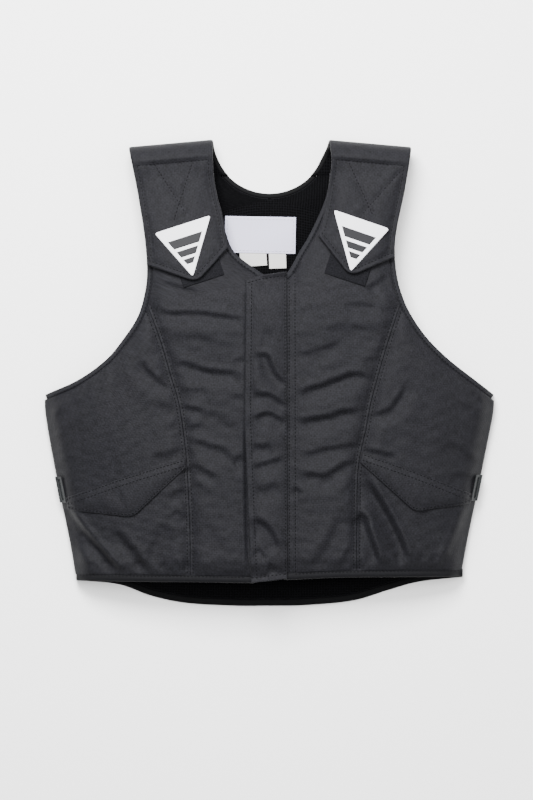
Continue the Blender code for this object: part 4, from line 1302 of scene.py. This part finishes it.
def make_strap(side):
    """A padded strap: round the shoulder fold, and over the front to its pointed end."""
    cell = bpy.context.scene.vest_sizes.cell
    edges = strap_leg_edges(side)
    us = stops(STRAP_SPAN, cell)
    leg = patch(edges, us, stops(STRAP_RUN, cell, (False, True)))
    x, y = leg[..., 0] * SIGN[side], leg[..., 1]
    seat = SHOULDER_TOP - STRAP_THICKNESS
    near_fold = ease(1 - (fold_centre(leg[..., 0]) - y) / 0.03)
    low = mix(strap_seat(x, y), seat, near_fold)
    relief = creased(x, y, STRAP_CREASES, STRAP_CREASE_DEPTH)
    thick = STRAP_THICKNESS + 0.0006 * flow(x, y, 0.045, 51) + 0.0002 * flow(x, y, 0.018, 52, 1.5)
    thick = thick - relief - dimples(leg, strap_stitches(side), 0.0012, 0.0017, 0.0010, 0.0055)
    rims = (edges[0], edges[1], edges[3])
    low, high = rounded(leg, low, low + np.maximum(thick, LEAST_STRAP), rims, 0.0024)
    leg_low, leg_high = grids(leg, low, high)
    angles = [-120, -110, -100, *np.linspace(-90, 90, 27)[:-1]]
    radii = FOLD_RADIUS - STRAP_THICKNESS, FOLD_RADIUS
    lower, upper = (rear_rows(side, us, angles, radius) for radius in radii)
    lower, upper = round_rims(us, STRAP_SPAN, lower, upper)
    swell = np.sin(math.pi * us)[None, :] * np.sin(np.radians(np.clip(angles, -90, 90)))[:, None]
    upper[..., 2] += 0.0007 * np.maximum(swell, 0)
    lower, upper = np.concatenate([lower, leg_low]), np.concatenate([upper, leg_high])
    upper[..., 2] = np.maximum(upper[..., 2], 0.0)
    weave = lay_of(upper[..., 0], run_of(upper))
    flip = np.array([SIGN[side], 1.0, 1.0])
    piece = cloth_piece(f"{side}_strap_pad", FINISH["nylon"], lower * flip, upper * flip, weave)
    return keep(piece, "ballistic_nylon", f"{side}_shoulder_strap")


def make_strap_inside(side):
    """The mesh on the inside of a strap's rear, and the neck's tape that runs up to the fold."""
    cell = bpy.context.scene.vest_sizes.cell * 1.5
    flip = np.array([SIGN[side], 1.0, 1.0])
    us = stops(STRAP_INSIDE_SPAN, cell)
    angles = [-124, -115, -105, *np.linspace(-90, -15, 12)]
    inside = FOLD_RADIUS - STRAP_THICKNESS - 0.0003
    columns = mix(0.012, 0.985, us)
    lower, upper = (rear_rows(side, columns, angles, radius) for radius in (inside, inside - 0.0010))
    weave = lay_of(lower[..., 0], run_of(lower))
    piece = cloth_piece(f"{side}_strap_mesh", FINISH["mesh"], lower * flip, upper * flip, weave)
    area = round(grid_area(lower), 6)
    flat_size(lower)
    keep(piece, "mesh_lining")
    shares = TAPE_COLUMNS
    columns = mix(-0.0006, BINDING_WIDTH, shares)
    angles = [-123, -115, -105, *np.linspace(-90, -12, 12)]
    lower = rear_rows(side, shares, angles, FOLD_RADIUS + 0.0004, columns)
    upper = rear_rows(side, shares, angles, inside - 0.0016, columns)
    lower[..., 2] = np.maximum(lower[..., 2], 0.0)
    lower, upper = round_rims(shares, BINDING_WIDTH, lower, upper, 0.0018)
    weave = lay_of(shares * 0.006, run_of(lower))
    piece = cloth_piece(f"{side}_strap_tape", FINISH["edging"], lower * flip, upper * flip, weave)
    keep(piece, "binding_tape")


# Fly, flaps and fittings

# How far the fly and a pocket flap lie off the front, how much they swell and how thick they are
FLY_SEAT, FLY_SWELL, FLY_TOP = 0.0012, 0.0022, 0.0040
FLAP_SEAT, FLAP_SWELL, FLAP_THICKNESS = 0.0004, 0.0024, 0.0026
THIN_CREASE_DEPTH = 0.0024


def flat_piece(name, use, slot, edges, faces, cells, node, side=None, radius=0.0009,
               uneven=0.0002):
    """A thin cloth piece over an area, lying on what is under it."""
    us = stops(max(length(edges[2]), length(edges[3])), cells)
    vs = stops(max(length(edges[0]), length(edges[1])), cells)
    points = patch(edges, us, vs)
    plan = mirrored(points, side) if side else points
    x, y = plan[..., 0], plan[..., 1]
    low, high = faces(x, y, points)
    lift = uneven * flow(x, y, 0.03, 61)
    low, high = low + lift, high + lift
    share = roundness(nearest(points, edges), radius, 0.15)
    middle = (low + high) / 2
    lower, upper = grids(plan, mix(middle, low, share), mix(middle, high, share))
    piece = cloth_piece(name, FINISH[use], lower, upper)
    flat_size(lower)
    keep(piece, slot, node)


def placket_edges():
    (low_right, low_left), (top_right, top_left) = [
        [(-across(row.right), height(end.right)), (across(row.left), height(end.left))]
        for row, end in ((PLACKET_EDGE[0], PLACKET_LOW), (PLACKET_EDGE[-1], PLACKET_TOP))
    ]
    knee = (across(-0.035), height(0.7085))
    return (
        np.array([low_right, (-across(0.111), height(0.40)), top_right]),
        np.array([low_left, top_left]),
        np.array([low_right, low_left]),
        np.array([top_right, knee, top_left]),
    )


def placket_lines():
    """The stitching along the fly's free, top, sewn and low edges."""
    first, last, low, top = placket_edges()
    rows = (first, -0.0072), (top, -0.0045), (last, 0.0022), (low, 0.0060)
    return [points_at(beside(edge, inset), np.linspace(0.01, 0.99, 40)) for edge, inset in rows]


def make_placket():
    """The fly over the front opening, drawn into small drag folds."""
    lines = placket_lines()

    def faces(x, y, points):
        base = np.maximum(front_top(x, y), front_inner(x, y) + EDGE_PAD + 0.001)
        swell = puff(nearest(points, placket_edges()[:2]) / 0.018)
        relief = creased(x, y, FLY_CREASES, THIN_CREASE_DEPTH)
        low = np.maximum(base + FLY_SEAT + FLY_SWELL * swell - relief, base + FLY_SEAT / 2)
        high = np.maximum(base + FLY_TOP + FLY_SWELL * swell - 1.1 * relief, low + FLY_SEAT)
        high = high - dimples(points, lines, 0.0005, 0.0013, 0.0005, 0.004)
        return low, high

    flat_piece("front_fly", "nylon", "ballistic_nylon", placket_edges(), faces, 0.0022,
               "front_placket", radius=0.0013, uneven=0.0004)


def pocket_edges(side):
    row = POCKETS[side]
    seam, sides = SEAMS[side], SIDES[side]
    seam_high, seam_low, side_low, side_high = [
        np.array([out_at(line, height(level)) + shift, height(level)])
        for line, level, shift in (
            (seam, row.seam_top, 0.0012),
            (seam, row.seam_low, 0.0012),
            (sides, row.side_low, -0.0062),
            (sides, row.side_top, -0.0062),
        )
    ]
    tip = np.array([across(row.tip_out), height(row.tip_level)])
    corner = smooth_corner(seam_low, tip, side_low, 0.008)
    crown = np.array([seam_high, mix(seam_high, side_high, 0.5) + (0, 0.0016), side_high])
    return (
        np.array([seam_low, seam_high]),
        np.array([side_low, side_high]),
        np.vstack([seam_low, corner, side_low]),
        smooth_line(crown),
    )


def pocket_lines(side):
    """The stitching of a flap: two rows along its top, one along its point and one at its side."""
    _, last, low, high = pocket_edges(side)
    rows = (high, -0.0022), (high, -0.0085), (low, 0.0026), (last, 0.0024)
    return [points_at(beside(edge, inset), np.linspace(0.02, 0.98, 40)) for edge, inset in rows]


def make_pocket_flap(side):
    """A pointed pocket flap, sewn down along its top."""
    lines = pocket_lines(side)

    def faces(x, y, points):
        near = nearest(points, pocket_edges(side))
        seat = front_top(x, y) + FLAP_SEAT
        low = seat + FLAP_SWELL * puff(near / 0.014) - creased(x, y, FLAP_CREASES, THIN_CREASE_DEPTH)
        low = np.maximum(low, seat)
        high = low + FLAP_THICKNESS - dimples(points, lines, 0.0005, 0.0013, 0.0004, 0.004)
        return low, high

    flat_piece(f"{side}_pocket_cover", "nylon", "ballistic_nylon", pocket_edges(side), faces, 0.0024,
               f"{side}_pocket_flap", side, radius=0.0012)


def turned(spot, width, tall, side="left"):
    """The corners' edges of a turned rectangle: first, last, low and high."""
    angle = math.radians(spot.turn * SIGN[side])
    middle = np.array([across(spot.out), height(spot.level)])
    right = np.array([math.cos(angle), math.sin(angle)]) * width / 2
    up = np.array([-math.sin(angle), math.cos(angle)]) * tall / 2
    a, b, c, d = middle - right - up, middle + right - up, middle - right + up, middle + right + up
    return np.array([a, c]), np.array([b, d]), np.array([a, b]), np.array([c, d])


LOOP_TAPE_SIZE = (0.051, 0.046)
WEBBING_WIDTH = 0.025
BADGE_SIDE = 0.068
BADGE_CORNER = 0.0045
BADGE_THICKNESS = 0.0014
BAR_THICKNESS = 0.0007
# Where each of a badge's bars starts and ends, as shares of the way to its tip
BARS = ((0.20, 0.42), (0.50, 0.66), (0.73, 0.86))
RING_WIDTH = 0.0078
RING_HEIGHT = 0.031
RING_THICKNESS = 0.0022
# How far a slide's ring stands past the side edge, and above the front
RING_PAST = 0.0018
RING_LIFT = 0.0019


def on_front(raised, thick):
    """The faces of a sheet that lies a little above the front."""

    def faces(x, y, points):
        low = front_top(x, y) + raised
        return low, low + thick

    return faces


def make_loop_tape(side):
    """The loop tape that shows under a strap's point."""
    edges = turned(LOOP_TAPES[side], *LOOP_TAPE_SIZE, side)
    flat_piece(f"{side}_loop_pile", "pile", "loop_tape", edges, on_front(0.0003, 0.0013), 0.0024,
               f"{side}_loop_tape", side)


def badge_corners(side, reach):
    """The three corners of a badge: far, near and tip."""
    spot = BADGES[side]
    middle = np.array([across(spot.out), height(spot.level) - 0.0012])
    corners = []
    for share, turn, lean in ((1.04, 30, 1.0), (1.04, 150, 1.0), (1.13, -90, 0.45)):
        a = math.radians(turn + lean * spot.turn * SIGN[side])
        corners.append(middle + share * reach * np.array([math.cos(a), math.sin(a)]))
    return corners


def corner_sheet(corners, cut):
    """The four edges of a three-cornered shape with rounded corners, from half-way along its top."""
    a, b, c = corners
    waist = mix(a, b, 0.5)
    round_a, round_b = smooth_corner(waist, a, c, cut), smooth_corner(c, b, waist, cut)
    round_c = smooth_corner(a, c, b, cut)
    return (
        np.vstack([waist, round_b[::-1][:4]]),
        np.vstack([round_a[3:], round_c[:4]]),
        np.vstack([waist, round_a[:4]]),
        np.vstack([round_b[::-1][3:], round_c[3:][::-1]]),
    )


def make_badge(side, strap):
    """A moulded three-cornered badge with rounded corners, and three plain bars set on it."""
    find = surface(strap)
    far, near, tip = badge_corners(side, BADGE_SIDE / math.sqrt(3))
    # The stiff rubber lies on the cloth's high spots: a plane over the strap
    shares = np.linspace(0, 1, 9)
    tries = [mix(mix(far, near, u), tip, v) for u in shares for v in shares]
    hits = [(x, y, find(x * SIGN[side], y)) for x, y in tries]
    known = np.array([(x, y, 1.0, hit[0].z) for x, y, hit in hits if hit])
    plane = np.linalg.lstsq(known[:, :3], known[:, 3], rcond=None)[0]
    lift = np.percentile(known[:, 3] - known[:, :3] @ plane, 90)

    def plate(name, use, edges, raised, thick, *nodes):
        points = patch(edges, *(stops(length(edge), 0.0016) for edge in (edges[2], edges[1])))
        low = points @ plane[:2] + plane[2] + lift + raised
        share = roundness(nearest(points, edges), 0.0008, 0.2)
        high = low + mix(thick * 0.4, thick, share)
        piece = cloth_piece(name, FINISH[use], *grids(mirrored(points, side), low, high))
        keep(piece, "badge_rubber", *nodes)

    edges = corner_sheet((far, near, tip), BADGE_CORNER)
    plate(f"{side}_badge", "rubber", edges, 0.0001, BADGE_THICKNESS, f"{side}_strap_badge")
    middle = mix(far, near, 0.5)
    inner = [mix(corner, mix(middle, tip, 0.36), 0.24) for corner in (far, near, tip)]
    for n, (start, end) in enumerate(BARS):
        rows = [(mix(inner[1], inner[2], v), mix(inner[0], inner[2], v)) for v in (end, start)]
        edges = tuple(np.array(edge) for edge in (*zip(*rows), *rows))
        plate(f"{side}_badge_bar_{n + 1}", "bars", edges, 0.0012, BAR_THICKNESS)


def make_adjuster(side):
    """The side adjuster: a webbing tab from the side seam and the slide over it."""
    middle_y = height(SLIDE_LEVELS[side])
    low, high = (
        np.array([(out_at(SIDES[side], y) + past, y) for past in (-0.0063, -0.0005)])
        for y in (middle_y - WEBBING_WIDTH / 2, middle_y + WEBBING_WIDTH / 2)
    )
    edges = (np.array([low[0], high[0]]), np.array([low[1], high[1]]), low, high)
    flat_piece(f"{side}_side_webbing", "webbing", "webbing", edges,
               on_front(0.0003, 0.0014), 0.0012, f"{side}_side_tab", side,
               radius=0.0006, uneven=0.0)
    bm = bmesh.new()
    # A flat ring with one slot: its cells are set out, the middle one is opened, and it is thickened
    bmesh.ops.create_grid(bm, x_segments=3, y_segments=3, size=0.5)
    bm.faces.ensure_lookup_table()
    bmesh.ops.delete(bm, geom=[bm.faces[4]], context="FACES")
    shares_u, shares_v = (0.0, 0.30, 0.70, 1.0), (0.0, 0.10, 0.90, 1.0)
    for vert in bm.verts:
        u, v = shares_u[round((vert.co.x + 0.5) * 3)], shares_v[round((vert.co.y + 0.5) * 3)]
        y = middle_y + RING_HEIGHT * (v - 0.5)
        out = out_at(SIDES[side], y) + RING_PAST - RING_WIDTH * (1 - u)
        low = float(front_top(np.array([[out * SIGN[side]]]), np.array([[y]]))[0, 0])
        vert.co = (out * SIGN[side], y, low + RING_LIFT)
    bmesh.ops.translate(bm, vec=(0, 0, RING_THICKNESS), verts=thickened(bm))
    bmesh.ops.recalc_face_normals(bm, faces=list(bm.faces))
    sharp = [e for e in bm.edges if len(e.link_faces) == 2 and e.calc_face_angle() > 0.5]
    bmesh.ops.bevel(
        bm, geom=sharp, offset=0.0005, offset_type="OFFSET", affect="EDGES", segments=3, profile=0.5,
        material=-1,
    )
    piece = finished(f"{side}_slide_ring", bm, FINISH["plastic"])
    keep(piece, "moulded_plastic", f"{side}_side_slide")


def make_labels():
    """The bare neck label with its woven edge, and two bare tags."""
    for name, node, spot, width, tall, raised, use, slot in (
        ("neck_label_cloth", "neck_label", LABEL_SPOT, 0.085, 0.044, 0.0012, "label", "woven_label"),
        ("care_tag_cloth", "care_tag", CARE_TAG_SPOT, 0.032, 0.027, 0.0004, "tag", "printed_tag"),
        ("size_tag_cloth", "size_tag", SIZE_TAG_SPOT, 0.0205, 0.019, 0.0006, "tag", "printed_tag"),
    ):

        def faces(x, y, points, raised=raised):
            low = BACK_SKIN + raised + 0.0006 * (1 + flow(x, y, 0.05, 71))
            return low, low + 0.0006

        flat_piece(name, use, slot, turned(spot, width, tall), faces, 0.002, node,
                   radius=0.0004, uneven=0.0)


def label_lines():
    """The stitching round the neck label."""
    return [points_at(line, np.linspace(0, 1, 10)) for line in turned(LABEL_SPOT, 0.079, 0.038)]


# Stitching

# The share of a row's length between its stitches
STITCH_GAP = 0.30


def sew(name, lines, onto, use="thread", thick=0.0012, slot="binding_tape"):
    """Rows of separate stitches: each is a small rounded bead along a line, sunk into the cloth."""
    size = bpy.context.scene.vest_sizes.stitch_length
    pitch = size / (1 - STITCH_GAP)
    find = surface(*onto)
    bm = bmesh.new()
    for line in lines:
        total = length(line)
        count = int(total / pitch)
        if count < 1:
            continue
        centres = points_at(line, (np.arange(count) + 0.5) / count)
        ahead = points_at(line, np.minimum((np.arange(count) + 0.9) / count, 1.0))
        for centre, nose in zip(centres, ahead):
            hit = find(*centre)
            if hit is None:
                continue
            run = Vector((*(nose - centre), 0.0))
            normal = hit[1].normalized()
            if normal.z < 0:
                normal = -normal
            run = (run - normal * run.dot(normal)).normalized()
            cross = normal.cross(run)
            turn = Matrix((run, cross, normal)).transposed().to_4x4()
            size_3 = Matrix.Diagonal((size / 2, thick / 2, thick / 2.4, 1.0))
            place = Matrix.Translation(hit[0] + normal * thick * 0.12) @ turn @ size_3
            bmesh.ops.create_icosphere(bm, subdivisions=1, radius=1.0, matrix=place)
    keep(finished(name, bm, FINISH[use]), slot)


def placed(lines, side):
    return [mirrored(np.asarray(line), side) for line in lines]


def make_stitching():
    """All the vest's visible top-stitching."""
    for side in SIGN:
        centre, sides = MADE[f"{side}_front_centre_pad"], MADE[f"{side}_front_side_pad"]
        strap, cover = MADE[f"{side}_strap_pad"], MADE[f"{side}_pocket_cover"]
        lines = stitch_lines(side)
        covered = surface(strap, cover, MADE["front_fly"])

        def bare(line, base):
            """The parts of a line that nothing lies over."""
            line = points_at(line, np.linspace(0, 1, 160))
            under = surface(base)
            runs = [[]]
            for point, place in zip(line, mirrored(line, side)):
                top, low = covered(*place), under(*place)
                if low is not None and (top is None or top[0].z < low[0].z):
                    runs[-1].append(point)
                elif runs[-1]:
                    runs.append([])
            return [np.array(run) for run in runs if len(run) > 2]

        on_centre = [run for k in ON_CENTRE if k in lines for run in bare(lines[k], centre)]
        on_sides = bare(lines["seam_outer"], sides)
        sew(f"{side}_seam_stitches", placed(on_centre + on_sides, side), [centre, sides])
        for key, tape in (("armhole", "armhole"), ("neck", "neck"), ("hem", "front_hem")):
            piece = MADE[f"{side}_{tape}_tape"]
            sew(f"{side}_{key}_stitches", placed(bare(lines[key], piece), side), [piece])
        sew(f"{side}_strap_stitches", placed(strap_stitches(side), side), [strap], thick=0.0011)
        sew(f"{side}_pocket_stitches", placed(pocket_lines(side), side), [cover])
    sew("fly_stitches", placket_lines(), [MADE["front_fly"]])
    sew("label_stitches", label_lines(), [MADE["neck_label_cloth"]], "label", slot="woven_label")


# Stage

# The photo's pixels in metres, and the pixel that lies at the frame's origin
PIXEL = 0.0012
PHOTO_SIZE = (533, 800)
PHOTO_ORIGIN = (269.5, 373.0)
CAMERA_HEIGHT = 6.0
# The level of the cloth that the photo's pixels are measured on
CLOTH_LEVEL = 0.02
SENSOR = 36.0
AIM = Vector((0.0, 0.0, 0.0))


def make_stage():
    """A pale floor, soft studio light, and the camera straight above the vest."""
    scene = bpy.context.scene
    made, tree, base = new_material("pale_floor", Roughness=0.9, Specular_IOR_Level=0.2)
    dress(tree, base, tone(tree, noise(tree, 2.0), linear("#fafafa"), linear("#fdfdfd")))
    bm = bmesh.new()
    bmesh.ops.create_grid(bm, x_segments=4, y_segments=4, size=6.0)
    bmesh.ops.translate(bm, vec=(0, 0, -0.0004), verts=bm.verts)
    floor = linked("floor", mesh_of("floor", bm, made))
    for name, place, power, size in (
        ("key_light", (-0.32, 1.12, 1.66), 136.0, 0.9),
        ("fill_light", (1.9, 0.6, 2.4), 36.0, 2.2),
        ("top_light", (0.0, 0.2, 3.4), 138.0, 2.0),
    ):
        light = bpy.data.lights.new(name, "AREA")
        light.energy, light.size = power, size
        lamp = linked(name, light)
        lamp.location = place
        lamp.rotation_euler = (AIM - Vector(place)).to_track_quat("-Z", "Y").to_euler()
    world = scene.world or bpy.data.worlds.new("studio")
    scene.world = world
    world.use_nodes = True
    backdrop = world.node_tree.nodes.get("Background")
    backdrop.inputs["Color"].default_value = (1.0, 1.0, 1.0, 1.0)
    backdrop.inputs["Strength"].default_value = 0.5
    camera = bpy.data.cameras.new("camera")
    camera.sensor_fit, camera.sensor_width = "AUTO", SENSOR
    camera.lens = SENSOR * (CAMERA_HEIGHT - CLOTH_LEVEL) / (max(PHOTO_SIZE) * PIXEL)
    camera.clip_end = 20.0
    eye = linked("camera", camera)
    middle = [size / 2 for size in PHOTO_SIZE]
    eye.location = (
        (middle[0] - PHOTO_ORIGIN[0]) * PIXEL, (PHOTO_ORIGIN[1] - middle[1]) * PIXEL, CAMERA_HEIGHT
    )
    scene.camera = eye


class VEST_OT_back(bpy.types.Operator):
    """Make the padded back and its lining"""

    bl_idname = "vest.make_back"
    bl_label = "Back and Lining"

    def execute(self, context):
        make_back()
        make_lining()
        return {"FINISHED"}


class VEST_OT_fronts(bpy.types.Operator):
    """Make the padded front panels"""

    bl_idname = "vest.make_fronts"
    bl_label = "Front Panels"

    def execute(self, context):
        for side in SIGN:
            make_centre_panel(side)
            make_side_panel(side)
        return {"FINISHED"}


class VEST_OT_tapes(bpy.types.Operator):
    """Make the bindings and the hem bands"""

    bl_idname = "vest.make_tapes"
    bl_label = "Bindings and Hem Bands"

    def execute(self, context):
        for side in SIGN:
            make_tapes(side)
        make_back_tapes()
        return {"FINISHED"}


class VEST_OT_straps(bpy.types.Operator):
    """Make the shoulder straps, their loop tapes and badges"""

    bl_idname = "vest.make_straps"
    bl_label = "Straps and Badges"

    def execute(self, context):
        for side in SIGN:
            make_loop_tape(side)
            strap = make_strap(side)
            make_strap_inside(side)
            make_badge(side, strap)
        return {"FINISHED"}


class VEST_OT_closures(bpy.types.Operator):
    """Make the fly, the pocket flaps and the side adjusters"""

    bl_idname = "vest.make_closures"
    bl_label = "Fly, Flaps and Adjusters"

    def execute(self, context):
        make_placket()
        for side in SIGN:
            make_pocket_flap(side)
            make_adjuster(side)
        return {"FINISHED"}


class VEST_OT_labels(bpy.types.Operator):
    """Make the bare neck label and tags"""

    bl_idname = "vest.make_labels"
    bl_label = "Label and Tags"

    def execute(self, context):
        make_labels()
        return {"FINISHED"}


class VEST_OT_stitching(bpy.types.Operator):
    """Sew the visible rows of stitches"""

    bl_idname = "vest.make_stitching"
    bl_label = "Stitching"

    def execute(self, context):
        make_stitching()
        return {"FINISHED"}


class VEST_OT_stage(bpy.types.Operator):
    """Make the floor, the lights and the camera"""

    bl_idname = "vest.make_stage"
    bl_label = "Stage"

    def execute(self, context):
        make_stage()
        return {"FINISHED"}


class VEST_PT_panel(bpy.types.Panel):
    """The vest's sizes, colours and steps"""

    bl_idname = "VEST_PT_panel"
    bl_label = "Rodeo Vest"
    bl_space_type = "VIEW_3D"
    bl_region_type = "UI"
    bl_category = "Vest"

    def draw(self, context):
        column = self.layout.column()
        for group in (context.scene.vest_sizes, context.scene.vest_colours):
            for key in group.__annotations__:
                column.prop(group, key)
        for operator in STEPS:
            column.operator(operator.bl_idname)


STEPS = (
    VEST_OT_stage,
    VEST_OT_back,
    VEST_OT_fronts,
    VEST_OT_tapes,
    VEST_OT_straps,
    VEST_OT_closures,
    VEST_OT_labels,
    VEST_OT_stitching,
)
CLASSES = (VestSizes, VestColours, *STEPS, VEST_PT_panel)


def register():
    for made in CLASSES:
        bpy.utils.register_class(made)
    bpy.types.Scene.vest_sizes = bpy.props.PointerProperty(type=VestSizes)
    bpy.types.Scene.vest_colours = bpy.props.PointerProperty(type=VestColours)


def unregister():
    del bpy.types.Scene.vest_colours
    del bpy.types.Scene.vest_sizes
    for made in reversed(CLASSES):
        bpy.utils.unregister_class(made)


def main():
    register()
    FINISH.update(finishes())
    bpy.ops.vest.make_stage()
    bpy.ops.vest.make_back()
    bpy.ops.vest.make_fronts()
    bpy.ops.vest.make_tapes()
    bpy.ops.vest.make_straps()
    bpy.ops.vest.make_closures()
    bpy.ops.vest.make_labels()
    bpy.ops.vest.make_stitching()


if __name__ == "__main__":
    main()
